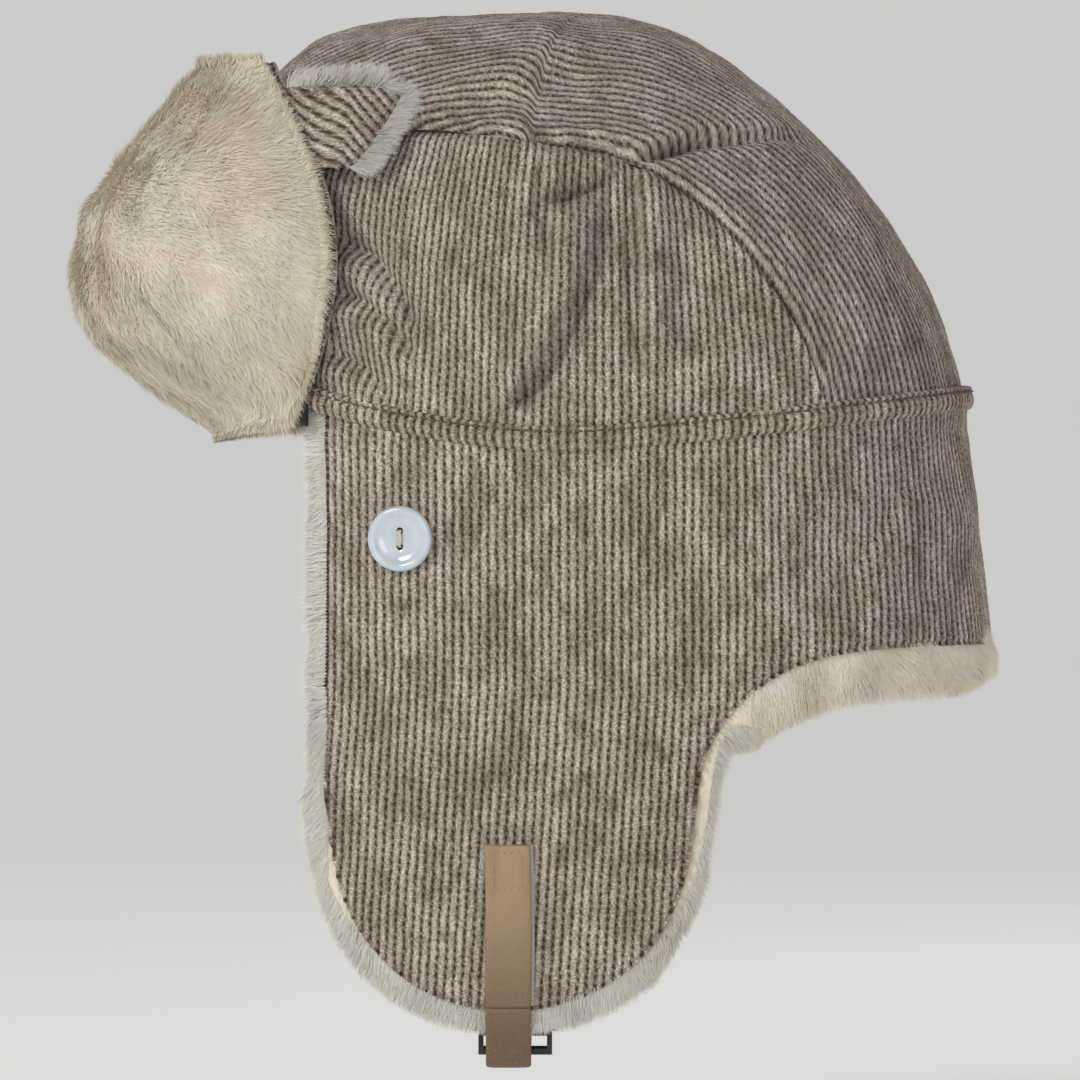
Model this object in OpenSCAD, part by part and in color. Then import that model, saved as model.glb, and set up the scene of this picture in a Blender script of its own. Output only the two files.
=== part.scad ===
// Trapper hat: fabric crown, fur-lined ear flaps, turned-up fur visor, leather straps and a buckle.
// Front of the hat is -Y, the wearer's left is +X, and up is +Z.
// The origin is the centre of the head opening, at the height of the band seam.

/* [Crown] */
// Half-length of the crown, towards the front
crown_front = 126; // [115:1:130]
// Half-length of the crown, towards the nape
crown_back = 125; // [115:1:130]
// Half-width of the crown
crown_half_width = 86; // [80:1:90]
// Height of the crown above the origin
crown_height = 140; // [125:1:150]
// Thickness of the ribbed fabric
fabric = 2.5; // [2:0.1:3]
// Thickness of fabric and lining together
wall = 10; // [8:0.5:11]

/* [Band] */
// Height of the welt
welt_height = 6.5; // [5:0.5:8]
// How far the welt stands proud of the crown
welt_proud = 1.2; // [0.8:0.1:2]
// Thickness of the topstitch thread
thread = 0.7; // [0.5:0.1:1]

/* [Ear flaps] */
// Height of the line that an ear flap folds about
fold_z = -85; // [-90:1:-80]
// Lowest point of an ear flap's fabric
flap_bottom_z = -191.7; // [-195:0.1:-188]
// Lowest point of an ear flap's fur
flap_fur_bottom_z = -194.5; // [-198:0.5:-193]
// Middle of an ear flap, front to back
flap_y = -28.5; // [-33:0.5:-25]
// Half-width of an ear flap
flap_half_width = 60.5; // [55:0.5:64]
// How far an ear flap leans in at its bottom
flap_lean = 12; // [8:0.5:14]

/* [Visor] */
// Height of the visor from its seam to its top edge
visor_height = 124; // [110:1:130]
// How far the fur face stands out at the front
visor_puff = 42; // [30:1:46]
// Thickness of the stiff interlining
interlining = 1.2; // [0.8:0.1:1.6]

/* [Button] */
// Diameter of the button
button_d = 21.7; // [18:0.1:25]
// Thickness of the button
button_thick = 3.6; // [3:0.1:5]
// Diameter of each thread hole
button_hole_d = 2.4; // [1.8:0.1:3]

/* [Strap and buckle] */
// Width of the leather strap
strap_w = 15; // [12:0.5:16]
// Thickness of the leather
leather = 2; // [1.6:0.1:2.2]
// Thickness of the pale backing strip
backing = 0.8; // [0.5:0.1:1]
// Height of the strap's top edge
strap_top_z = -137; // [-142:1:-132]
// Width of the buckle's strap slot
slot_w = 21; // [18:0.5:22]
// Height of the strap slot
slot_h = 5; // [4.8:0.1:5.2]
// Radius of the buckle's end bar
bar_r = 1.5; // [1.3:0.1:1.6]

/* [Hidden] */

$fn = 48;

corduroy_colour = "#96867a";
welt_colour = "#8a7a68";
lining_colour = "#d8d0c0";
fur_colour = "#e2d9c8";
leather_colour = "#b09478";
backing_colour = "#b9b6ae";
thread_colour = "#c9b48e";
button_colour = "#dfe6ea";
plastic_colour = "#1c1c1e";

// Clearance between bodies that move against each other
gap = 0.4;
plan_power = 2.3;
// Roundness of the crown's profile at the front, the sides and the back
front_round = 4.6;
side_round = 2.4;
back_round = 1.62;

// Distance from the crown's axis to its outline, in direction a
function reach(a) =
    let (half_length = sin(a) < 0 ? crown_front : crown_back)
    pow(pow(abs(cos(a)) / crown_half_width, plan_power) + pow(abs(sin(a)) / half_length, plan_power),
        -1 / plan_power);

function roundness(a) =
    side_round + ((sin(a) < 0 ? front_round : back_round) - side_round) * pow(sin(a), 2);

// Height of the band seam at a place y along the hat
function seam_z(y) =
    min(8.3, -6.3 + (y > -9 ? 14.6 * pow((y + 9) / 134, 1.3) : 13.6 * pow((-9 - y) / 86, 1.9)));

function outline_y(a) = reach(a) * sin(a);

// Lowest elevation angle of the crown in direction a, at the band seam
function seam_angle(a) = asin(pow(max(seam_z(outline_y(a)), 0) / crown_height, roundness(a) / 2));

// Point of the crown in direction a at elevation e, inset by t, lowered to the seam at low_e
function crown_point(a, e, low_e, t) =
    let (n = 2 / roundness(a),
         r = (reach(a) - t) * pow(cos(e), n),
         dip = min(seam_z(outline_y(a)), 0) * pow(max(0, (40 - e) / (40 - low_e)), 2))
    [r * cos(a), r * sin(a), (crown_height - t) * pow(sin(e), n) + dip];

// The side panel runs from panel_front round to panel_back and up to panel_top
panel_front = -74;
panel_back = 46;
panel_top = 37;
function panel_angle(a) =
    let (s = abs(2 * (a - panel_front) / (panel_back - panel_front) - 1))
    seam_angle(a) + (s < 1 ? panel_top * pow(1 - pow(s, 2.6), 0.6) : 0);

// Same direction on the other side of the hat
function mirrored(a) = cos(a) < 0 ? (a > 0 ? 180 - a : -180 - a) : a;

// Directions round the crown: one side, then all the way round
directions = [for (a = [-90 : 9 : 90]) a];
all_directions = concat(directions, [for (i = [len(directions) - 2 : -1 : 1]) 180 - directions[i]]);

// x of the hanging fabric at a place y and a height z
curtain_open = 0.55;
function hang_x(y, z) =
    let (nape = y > 0,
         half_length = nape ? crown_back + 9.5 * fall(z) : crown_front,
         side = crown_half_width
             * pow(max(0, 1 - pow(abs(y) / half_length, plan_power)), 1 / plan_power))
    nape ? side : crown_half_width - (crown_half_width - side) * (1 - (1 - curtain_open) * fall(z));

// 0 at the band seam and 1 at the fold line, easing in
function fall(z) = pow(min(1, max(0, z / fold_z)), 0.8);

// Point of the hanging curtain in direction a at height z, inset by t
function curtain_point(a, z, t) =
    let (half_length = crown_back + 9.5 * fall(z),
         r = sin(a) < 0 ? reach(a) : pow(pow(abs(cos(a)) / crown_half_width, plan_power)
             + pow(abs(sin(a)) / half_length, plan_power), -1 / plan_power),
         y = (r - t) * sin(a),
         side = (r - t) * cos(a),
         open = sin(a) < 0 ? (crown_half_width - r * cos(a)) * (1 - curtain_open) * fall(z) : 0)
    [side + open, y, z];

function hem_z(y) = y < 52.7 ? fold_z + gap / 2 : -70.3 - 14.7 * exp((52.7 - y) / 18);

// Half-width of a flap at depth s, from 0 at the fold to 1 at the bottom
function lobe(s) = sqrt(max(0, 1 - pow(s, 3.8)));

// Closed slab between an outer and an inner grid of points; ring joins the last column to the first
module slab(outer, inner, ring = false) {
    rows = len(outer);
    cols = len(outer[0]);
    last = ring ? cols - 1 : cols - 2;
    function at(side, r, c) = side * rows * cols + r * cols + c % cols;
    skins = [for (side = [0, 1], r = [0 : rows - 2], c = [0 : last])
        let (a = at(side, r, c), b = at(side, r, c + 1), d = at(side, r + 1, c + 1), e = at(side, r + 1, c))
        each side == 0 ? [[a, d, b], [a, e, d]] : [[a, b, d], [a, d, e]]];
    rims = [for (c = [0 : last]) each
        [[at(0, 0, c), at(0, 0, c + 1), at(1, 0, c + 1)], [at(0, 0, c), at(1, 0, c + 1), at(1, 0, c)],
         [at(0, rows - 1, c), at(1, rows - 1, c + 1), at(0, rows - 1, c + 1)],
         [at(0, rows - 1, c), at(1, rows - 1, c), at(1, rows - 1, c + 1)]]];
    ends = ring ? [] : [for (r = [0 : rows - 2]) each
        [[at(0, r, 0), at(1, r, 0), at(1, r + 1, 0)], [at(0, r, 0), at(1, r + 1, 0), at(0, r + 1, 0)],
         [at(0, r, cols - 1), at(1, r + 1, cols - 1), at(1, r, cols - 1)],
         [at(0, r, cols - 1), at(0, r + 1, cols - 1), at(1, r + 1, cols - 1)]]];
    points = concat([for (row = outer) each row], [for (row = inner) each row]);
    polyhedron(points, concat(skins, rims, ends), convexity = 10);
}

// Closed dome between two sets of rings; the last point of each is its summit
module dome(outer, inner, summit_outer, summit_inner) {
    rows = len(outer);
    cols = len(outer[0]);
    n = rows * cols;
    function at(side, r, c) = side * n + r * cols + c % cols;
    skins = [for (side = [0, 1], r = [0 : rows - 2], c = [0 : cols - 1])
        let (a = at(side, r, c), b = at(side, r, c + 1), d = at(side, r + 1, c + 1), e = at(side, r + 1, c))
        each side == 0 ? [[a, d, b], [a, e, d]] : [[a, b, d], [a, d, e]]];
    rim = [for (c = [0 : cols - 1]) each
        [[at(0, 0, c), at(0, 0, c + 1), at(1, 0, c + 1)], [at(0, 0, c), at(1, 0, c + 1), at(1, 0, c)]]];
    caps = [for (c = [0 : cols - 1]) each
        [[at(0, rows - 1, c), 2 * n, at(0, rows - 1, c + 1)],
         [at(1, rows - 1, c), at(1, rows - 1, c + 1), 2 * n + 1]]];
    points = concat([for (row = outer) each row], [for (row = inner) each row],
                    [summit_outer, summit_inner]);
    polyhedron(points, concat(skins, rim, caps), convexity = 10);
}

// A piece of the left side, or its mirror image for the right side
module on_side(side) {
    if (side == "left") children();
    else mirror([1, 0, 0]) children();
}

// Rows of a dome, and the elevation of the last one, round the summit
dome_rows = 9;
summit_edge = 86;
module crown_center_panel() {
    function ring(v, t) = [for (a = all_directions)
        let (m = mirrored(a), low = panel_angle(m),
             p = crown_point(m, low + (summit_edge - low) * v, seam_angle(m), t))
        [cos(a) < 0 ? -p[0] : p[0], p[1], p[2]]];
    color(corduroy_colour)
        dome([for (i = [0 : dome_rows]) ring(i / dome_rows, 0)],
             [for (i = [0 : dome_rows]) ring(i / dome_rows, fabric)],
             [0, 0, crown_height], [0, 0, crown_height - fabric]);
}

module crown_side_panel(side) {
    span = [for (a = directions) if (a > panel_front + 2 && a < panel_back) a];
    function row(v, t) = [for (a = span)
        let (low = seam_angle(a)) crown_point(a, low + (panel_angle(a) - low) * v, low, t)];
    color(corduroy_colour)
        on_side(side)
            slab([for (i = [0 : 4]) row(i / 4, 0)], [for (i = [0 : 4]) row(i / 4, fabric)]);
}

module crown_lining() {
    function ring(v, t) = [for (a = all_directions)
        let (m = mirrored(a), low = seam_angle(m),
             p = crown_point(m, low + (summit_edge - low) * v, low, t))
        [cos(a) < 0 ? -p[0] : p[0], p[1], p[2]]];
    color(lining_colour)
        dome([for (i = [0 : dome_rows]) ring(i / dome_rows, fabric + 1.2)],
             [for (i = [0 : dome_rows]) ring(i / dome_rows, wall)],
             [0, 0, crown_height - fabric - 1.2], [0, 0, crown_height - wall]);
}

// Ring round the foot of the crown, from low to high above the seam, standing proud by out
module band_ring(low, high, inset, out) {
    function ring(h, t) = [for (a = all_directions)
        let (m = mirrored(a), r = reach(m) - t, x = r * cos(m))
        [cos(a) < 0 ? -x : x, r * sin(m), seam_z(outline_y(m)) + h]];
    slab([ring(low, -out), ring(high, -out)], [ring(low, inset), ring(high, inset)], ring = true);
}

module band_welt() {
    color(welt_colour) band_ring(-0.5, welt_height, -0.1, welt_proud);
}

module band_topstitch() {
    stitch_z = welt_height - 1.4;
    color(thread_colour)
        band_ring(stitch_z - thread / 2, stitch_z + thread / 2, -welt_proud - 0.05, welt_proud + thread);
}

curtain_front = -54;
curtain_cols = 16;
function curtain_direction(i) = curtain_front + (90 - curtain_front) * i / curtain_cols;

module curtain(side) {
    function row(v, t) = [for (i = [0 : curtain_cols])
        let (a = curtain_direction(i), y = outline_y(a), top = seam_z(y) - 0.8)
        curtain_point(a, top + (hem_z(y) - top) * v, t)];
    color(corduroy_colour)
        on_side(side)
            slab([for (i = [3 : -1 : 0]) row(i / 3, 0)], [for (i = [3 : -1 : 0]) row(i / 3, fabric)]);
}

// The fur lip hangs below the hem behind the flap and ends at the fold line in front of it
lip_start_y = 57;
function lip_z(y) = y < lip_start_y ? fold_z + gap / 2 : hem_z(y) - 16;
fur_front = -57;

module curtain_fur(side) {
    function direction(i) = fur_front + (90 - fur_front) * i / curtain_cols;
    function row(v, t) = [for (i = [0 : curtain_cols])
        let (a = direction(i), y = outline_y(a), top = seam_z(y) - 1.2)
        curtain_point(a, top + (lip_z(y) - top) * v, t)];
    color(fur_colour)
        on_side(side)
            slab([for (i = [3 : -1 : 0]) row(i / 3, fabric + 0.2)],
                 [for (i = [3 : -1 : 0]) row(i / 3, wall)]);
}

// Point of the hanging flap at a place y and depth s, inset by t
function flap_point(y, s, z, t) =
    [hang_x(y, fold_z) - flap_lean * pow(s, 2) - t * (1 - 0.45 * pow(s, 6)), y, z];

// Rows of a flap from its bottom to the fold line, t deep, reaching past the fabric by past
flap_cols = 10;
flap_rows = 8;
function flap_rows_at(t, bottom_z, past) = [for (i = [flap_rows : -1 : 0])
    let (s = 0.995 * pow(i / flap_rows, 0.7),
         z = fold_z - gap / 2 + (bottom_z - fold_z) * s,
         half = flap_half_width * lobe(s) + past,
         root = (20 - 3 * past) * pow(max(0, 1 - s / 0.4), 2.6))
    [for (j = [0 : flap_cols])
        let (y = flap_y - half - 1.2 + (2 * half + 1.2 + root) * j / flap_cols) flap_point(y, s, z, t)]];

module ear_flap(side) {
    color(corduroy_colour)
        on_side(side) slab(flap_rows_at(0, flap_bottom_z, 0), flap_rows_at(fabric, flap_bottom_z, 0));
}

module ear_flap_fur(side) {
    color(fur_colour)
        on_side(side)
            slab(flap_rows_at(fabric + 0.9, flap_fur_bottom_z, 3), flap_rows_at(wall, flap_fur_bottom_z, 3));
}

// Black woven tab over the front end of the seam
tape_w = 7;
tape_thick = 1;
module seam_tape(side) {
    a = -57;
    color(plastic_colour)
        on_side(side)
            translate([(reach(a) + 2.8) * cos(a), (reach(a) + 2.8) * sin(a), 1])
                rotate([0, 0, a])
                    translate([-tape_thick / 2, -tape_w / 2, 0]) cube([tape_thick, tape_w, tape_w]);
}

// The button lies flat against the curtain
button_y = -64;
button_z = -36.3;
button_x = hang_x(button_y, button_z) - 0.8;
button_turn = atan2(hang_x(button_y + 5, button_z) - hang_x(button_y - 5, button_z), 10);
button_hole_pitch = 5.2;
module at_button(side) {
    on_side(side)
        translate([button_x, button_y, button_z])
            rotate([0, 0, -button_turn]) rotate([0, 90, 0]) translate([0, 0, 2.2]) children();
}

module button(side) {
    rim = 2.6;
    color(button_colour)
        at_button(side)
            difference() {
                rotate_extrude()
                    polygon([[0, 0], [button_d / 2 - 1.5, 0], [button_d / 2, 1.2],
                             [button_d / 2, button_thick - 0.8], [button_d / 2 - 0.8, button_thick],
                             [button_d / 2 - rim, button_thick], [button_d / 2 - rim - 1, button_thick - 1],
                             [0, button_thick - 1.2]]);
                for (s = [-1, 1])
                    translate([s * button_hole_pitch / 2, 0, -1])
                        cylinder(d = button_hole_d, h = button_thick + 2);
            }
}

module button_thread(side) {
    stand = 1.2;
    color(lining_colour)
        at_button(side) {
            for (s = [-1, 1])
                translate([s * button_hole_pitch / 2, 0, -stand + 0.1])
                    cylinder(d = 1.5, h = button_thick + stand - 0.6);
            translate([-button_hole_pitch / 2, -0.75, button_thick - 0.7])
                cube([button_hole_pitch, 1.5, 1.2]);
        }
}

// Point of the visor across u, from -1 to 1, and up v, from 0 to 1, standing off the crown by off
visor_base_z = -2.6;
visor_end = 31.5;
function visor_point(u, v, off) =
    let (spread = visor_end + 10 * sin(180 * pow(v, 0.9)) - 4 * pow(v, 3),
         a = -90 + spread * u,
         base = visor_base_z + 9 * u * u,
         r = reach(mirrored(a)) + off)
    [r * cos(a), r * sin(a), base + (visor_height - 9 * u * u) * v];

function puff(u, v) =
    let (bump = sin(180 * pow(v, 0.82)))
    visor_puff * (1 - 0.68 * pow(abs(u), 2.5)) * pow(bump, v < 0.43 ? 1.5 : 1);

function visor_gap(v) = welt_proud + 1.2 + 4 * sin(180 * v);
function shell_off(v) = visor_gap(v) + fabric;
function fur_root(v) = shell_off(v) + interlining + 1;

visor_cols = 14;
visor_rows = 7;
// Rows between two distances off the crown, each given as a function of u and v
function visor_grid(margin, off) = [for (i = [0 : visor_rows])
    [for (j = [0 : visor_cols])
        let (u = (1 - margin) * (1 - 2 * j / visor_cols), v = margin + (1 - 2 * margin) * i / visor_rows)
        visor_point(u, v, off(u, v))]];

module visor_shell() {
    color(corduroy_colour)
        slab(visor_grid(0, function (u, v) visor_gap(v)), visor_grid(0, function (u, v) shell_off(v)));
}

module visor_interlining() {
    color(backing_colour)
        slab(visor_grid(0.04, function (u, v) shell_off(v) + 0.5),
             visor_grid(0.04, function (u, v) shell_off(v) + 0.5 + interlining));
}

module visor_fur() {
    color(fur_colour)
        slab(visor_grid(0, function (u, v) fur_root(v)),
             visor_grid(0, function (u, v) fur_root(v) + 2 + puff(u, v) * 0.9));
}

// Top corner of the visor, turned back over the side of the crown
module visor_corner(side) {
    tip_y = -63;
    low_z = 86;
    high_z = 113;
    edge_y = -98;
    thick = 3;
    function corner_x(y, z, t) =
        let (k = (z - low_z) / (high_z - low_z)) 63.5 + 8 * (1 - k) - 0.12 * (y - tip_y - 20) + t;
    function row(k, t) = [for (j = [0 : 4])
        let (z = low_z + (high_z - low_z) * k,
             back = edge_y + 16 + (tip_y - edge_y - 16) * pow(k, 0.8),
             y = edge_y + 10 * (1 - k) + (back - edge_y - 10 * (1 - k)) * j / 4)
        [corner_x(y, z, t), y, z]];
    color(corduroy_colour)
        on_side(side)
            slab([for (i = [0 : 4]) row(i / 4, thick)], [for (i = [0 : 4]) row(i / 4, 0)]);
}

// Strap: side view in X and Z, drawn out along Y
strap_y = -29.8;
strap_split_z = -191;
bar_x = 60.5;
bar_z = -205.6;
loop_r = bar_r + 1.8;
loop_thick = leather + backing;
function strap_x(z) =
    hang_x(strap_y, fold_z) - flap_lean * pow((fold_z - z) / (fold_z - flap_bottom_z), 2) + 0.45;

module along_strap(side, w) {
    on_side(side)
        translate([0, strap_y + w / 2, 0]) rotate([90, 0, 0]) linear_extrude(w) children();
}

// A length w of something round, along the buckle's bar and centred on the strap
module on_bar(side, w) {
    on_side(side) translate([bar_x, strap_y + w / 2, bar_z]) rotate([90, 0, 0]) children();
}

// Strip that follows the flap from the strap's top down to the hinge at the flap's foot
module strap_strip(from, thick) {
    heights = [for (i = [0 : 6]) strap_top_z + (strap_split_z + gap - strap_top_z) * i / 6];
    polygon(concat([for (z = heights) [strap_x(z) + from, z]],
                   [for (i = [6 : -1 : 0]) [strap_x(heights[i]) + from + thick, heights[i]]]));
}

module strap(side) {
    color(leather_colour) along_strap(side, strap_w) strap_strip(backing + 0.02, leather);
}

module strap_backing(side) {
    color(backing_colour) along_strap(side, strap_w + 1) strap_strip(0, backing);
}

// Box of stitching, just above the leather
module strap_stitching(side) {
    box_w = 9.3;
    box_h = 12;
    top = strap_top_z - 1.8;
    out = backing + leather + 0.15;
    function line(z_high, z_low) = [[strap_x(z_high) + out, z_high], [strap_x(z_low) + out, z_low],
                                    [strap_x(z_low) + out + thread, z_low],
                                    [strap_x(z_high) + out + thread, z_high]];
    color(thread_colour) {
        for (z = [top, top - box_h + thread])
            along_strap(side, box_w) polygon(line(z, z - thread));
        for (s = [-1, 1])
            on_side(side)
                translate([0, strap_y + s * (box_w - thread) / 2 + thread / 2, 0])
                    rotate([90, 0, 0]) linear_extrude(thread) polygon(line(top, top - box_h));
    }
}

// Free end: a short tail that leaves the flap and wraps round the buckle's bar
module strap_loop(side) {
    top_x = strap_x(strap_split_z);
    mid_r = loop_r + loop_thick / 2;
    d = [top_x + loop_thick / 2 - bar_x, strap_split_z - gap - bar_z];
    touch = atan2(d[1], d[0]) - acos(mid_r / norm(d));
    function edge(r) = [bar_x + r * cos(touch), bar_z + r * sin(touch)];
    color(leather_colour)
        difference() {
            union() {
                along_strap(side, strap_w)
                    polygon([[top_x + 0.4, strap_split_z - gap],
                             [top_x + loop_thick - 0.1, strap_split_z - gap],
                             edge(loop_r + loop_thick - 0.1), edge(loop_r + 0.4)]);
                on_bar(side, strap_w) cylinder(r = loop_r + loop_thick, h = strap_w);
            }
            on_bar(side, strap_w + 2) cylinder(r = loop_r, h = strap_w + 2);
        }
}

// Buckle halves stand upright on their bars: X is through the buckle, Z is along it
buckle_y = -27.2;
frame_w = slot_w + 3.4;
half_thick = 4.8;
body_start = bar_r + slot_h;

module at_bar(side) {
    on_side(side) translate([bar_x, buckle_y, bar_z]) children();
}

module centred_box(x0, x1, w, z0, z1) {
    translate([x0, -w / 2, z0]) cube([x1 - x0, w, z1 - z0]);
}

// End bar and the two arms that carry it
module slot_frame() {
    translate([0, frame_w / 2, 0]) rotate([90, 0, 0]) cylinder(r = bar_r, h = frame_w);
    for (s = [-1, 1])
        translate([0, s * (frame_w - 1.7) / 2, 0])
            centred_box(-bar_r, bar_r, 1.7, 0, body_start + 1);
}

prong_w = 3.6;
prong_len = 17;
prong_span = 22.6;
module buckle_plug() {
    color(plastic_colour)
        at_bar("left") {
            slot_frame();
            centred_box(-3.2, 3.2, frame_w + 3, body_start, body_start + 9);
            for (s = [-1, 1])
                translate([0, s * (prong_span - prong_w) / 2, 0]) {
                    centred_box(-1.9, 1.9, prong_w, body_start + 8, body_start + 9 + prong_len);
                    translate([0, s * 1.6, 0])
                        centred_box(-1.9, 1.9, prong_w, body_start + 14, body_start + 9 + prong_len - 3);
                }
            translate([0, 0, body_start + 8]) cylinder(d = 3.4, h = prong_len + 2);
        }
}

// Socket: a flat box, open at the top, with a release window on each side
socket_w = 30;
socket_len = 24;
cavity_w = 26.6;
cavity_thick = 5.2;
window_len = 9;
module buckle_socket() {
    floor_z = body_start + 3;
    color(plastic_colour)
        at_bar("right") {
            slot_frame();
            difference() {
                centred_box(-half_thick, half_thick, socket_w, body_start, body_start + socket_len);
                centred_box(-cavity_thick / 2, cavity_thick / 2, cavity_w, floor_z,
                            body_start + socket_len + 1);
                centred_box(-cavity_thick / 2, cavity_thick / 2, socket_w + 2, floor_z + 3,
                            floor_z + 3 + window_len);
            }
        }
}

crown_center_panel();
crown_side_panel("left");  // crown_side_panel_left
crown_side_panel("right");  // crown_side_panel_right
crown_lining();
band_welt();
band_topstitch();
curtain("left");  // curtain_left
curtain("right");  // curtain_right
curtain_fur("left");  // curtain_fur_left
curtain_fur("right");  // curtain_fur_right
seam_tape("left");  // seam_tape_left
seam_tape("right");  // seam_tape_right
button("left");  // button_left
button("right");  // button_right
button_thread("left");  // button_thread_left
button_thread("right");  // button_thread_right
visor_shell();
visor_interlining();
visor_fur();
visor_corner("left");  // visor_corner_left
visor_corner("right");  // visor_corner_right
ear_flap("left");  // ear_flap_left
ear_flap("right");  // ear_flap_right
ear_flap_fur("left");  // ear_flap_fur_left
ear_flap_fur("right");  // ear_flap_fur_right
strap("left");  // strap_left
strap("right");  // strap_right
strap_backing("left");  // strap_backing_left
strap_backing("right");  // strap_backing_right
strap_stitching("left");  // strap_stitching_left
strap_stitching("right");  // strap_stitching_right
strap_loop("left");  // strap_loop_left
strap_loop("right");  // strap_loop_right
buckle_plug();
buckle_socket();
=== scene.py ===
import bpy
import bmesh
import numpy as np
from mathutils import Matrix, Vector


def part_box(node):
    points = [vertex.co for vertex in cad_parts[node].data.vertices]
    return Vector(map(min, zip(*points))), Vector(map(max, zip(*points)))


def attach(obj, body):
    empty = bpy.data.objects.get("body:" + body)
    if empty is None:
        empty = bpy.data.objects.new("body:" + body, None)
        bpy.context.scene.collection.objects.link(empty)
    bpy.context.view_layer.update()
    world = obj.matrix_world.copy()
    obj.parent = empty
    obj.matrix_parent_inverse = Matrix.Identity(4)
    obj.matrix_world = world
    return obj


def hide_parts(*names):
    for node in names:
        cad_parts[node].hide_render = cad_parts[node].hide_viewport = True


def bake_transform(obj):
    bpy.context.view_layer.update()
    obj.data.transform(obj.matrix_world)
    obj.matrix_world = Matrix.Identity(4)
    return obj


# Trapper hat: looks. Front is -Y, the wearer's left is +X, and up is +Z, as in the CAD frame.
# Shapes are worked out in millimetres and turned into metres when a mesh is made.

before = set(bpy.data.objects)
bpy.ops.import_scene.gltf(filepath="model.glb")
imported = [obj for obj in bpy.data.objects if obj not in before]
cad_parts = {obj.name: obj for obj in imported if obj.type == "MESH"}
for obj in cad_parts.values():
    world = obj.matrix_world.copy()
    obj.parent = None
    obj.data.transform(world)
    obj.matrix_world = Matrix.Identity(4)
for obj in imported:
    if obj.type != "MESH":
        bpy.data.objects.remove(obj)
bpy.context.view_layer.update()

MM = 0.001
SIDES = {"left": 1, "right": -1}


def box_mm(node):
    low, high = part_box(node)
    return np.array(low) / MM, np.array(high) / MM


# ---- Driving dimensions: sizes from the frame, proportions set here ----

# How far the folded welt stands out from the crown
WELT_PROUD = 1.2
welt_low, welt_high = box_mm("band_welt")
HALF_WIDTH = welt_high[0] - WELT_PROUD
FRONT = -welt_low[1] - WELT_PROUD
BACK = welt_high[1] - WELT_PROUD
TOP = box_mm("crown_center_panel")[1][2]
flap_low, flap_high = box_mm("ear_flap_left")
# Height of the line that an ear flap folds on, and of its foot
FOLD_Z = flap_high[2] + 0.2
FOOT_Z = flap_low[2]
# An ear flap's middle, half width, and how far its foot leans in towards the jaw
FLAP_Y = -28.5
FLAP_HALF = 60.5
FLAP_LEAN = 12
FABRIC = 2.5
# Superellipse powers: the band's plan, and the crown's outline at the front, side and back
PLAN_POWER = 2.3
FRONT_ROUND = 4.6
SIDE_ROUND = 2.4
BACK_ROUND = 1.62
# Directions where a side panel's seam meets the band
PANEL_FRONT = np.radians(-74)
PANEL_BACK = np.radians(46)
# The visor's height, how far its fur swells, and the direction of its ends, in degrees
VISOR_HEIGHT = 124
VISOR_PUFF = 42
VISOR_END = 31.5

# Distance between two ribs of the corduroy, and between two tufts along a rib
RIB = 2.93
TUFT = 2.8


# ---- The hat's form ----


def smooth(low, high, x):
    t = np.clip((x - low) / (high - low), 0, 1)
    return t * t * (3 - 2 * t)


def seam_z(y):
    """Height of the band seam."""
    back = 14.6 * (np.maximum(y + 9, 0) / 134) ** 1.3
    front = 13.6 * (np.maximum(-9 - y, 0) / 86) ** 1.9
    return np.minimum(8.3, -6.3 + np.where(y > -9, back, front))


def reach(a, back=BACK):
    half = np.where(np.sin(a) < 0, FRONT, back)
    across = np.abs(np.cos(a)) / HALF_WIDTH
    along = np.abs(np.sin(a)) / half
    return (across ** PLAN_POWER + along ** PLAN_POWER) ** (-1 / PLAN_POWER)


def roundness(a):
    end = np.where(np.sin(a) < 0, FRONT_ROUND, BACK_ROUND)
    return SIDE_ROUND + (end - SIDE_ROUND) * np.sin(a) ** 2


def seam_angle(a):
    share = np.maximum(seam_z(reach(a) * np.sin(a)), 0) / TOP
    return np.arcsin(share ** (roundness(a) / 2))


def crown_point(a, e, t=0.0):
    """Point of the crown in direction a at elevation e, inset by t."""
    n = 2 / roundness(a)
    r = (reach(a) - t) * np.abs(np.cos(e)) ** n
    low = seam_angle(a)
    rise = np.clip((np.radians(40) - e) / (np.radians(40) - low), 0, 1)
    dip = np.minimum(seam_z(reach(a) * np.sin(a)), 0) * rise ** 2
    z = (TOP - t) * np.abs(np.sin(e)) ** n + dip
    return np.stack([r * np.cos(a), r * np.sin(a), z], -1)


def panel_angle(a):
    """Elevation of the seam between side panel and centre panel."""
    s = np.clip(np.abs(2 * (a - PANEL_FRONT) / (PANEL_BACK - PANEL_FRONT) - 1), 0, 1)
    return seam_angle(a) + np.radians(37) * (1 - s ** 2.6) ** 0.6


def fall(z):
    return np.clip(z / FOLD_Z, 0, 1) ** 0.8


def flap_depth(z):
    return np.clip((FOLD_Z - z) / (FOLD_Z - FOOT_Z), 0, 1.05)


def hanging_point(a, z, t=0.0):
    """Point of the curtain and, below the fold line, of the ear flap."""
    r = reach(a, BACK + 9.5 * fall(z))
    side = (r - t) * np.cos(a)
    spread = np.where(np.sin(a) < 0, (HALF_WIDTH - r * np.cos(a)) * 0.45 * fall(z), 0)
    x = side + spread - FLAP_LEAN * flap_depth(z) ** 2
    return np.stack([x, (r - t) * np.sin(a), z], -1)


def lobe(s):
    return np.sqrt(np.maximum(0, 1 - s ** 3.8))


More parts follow.
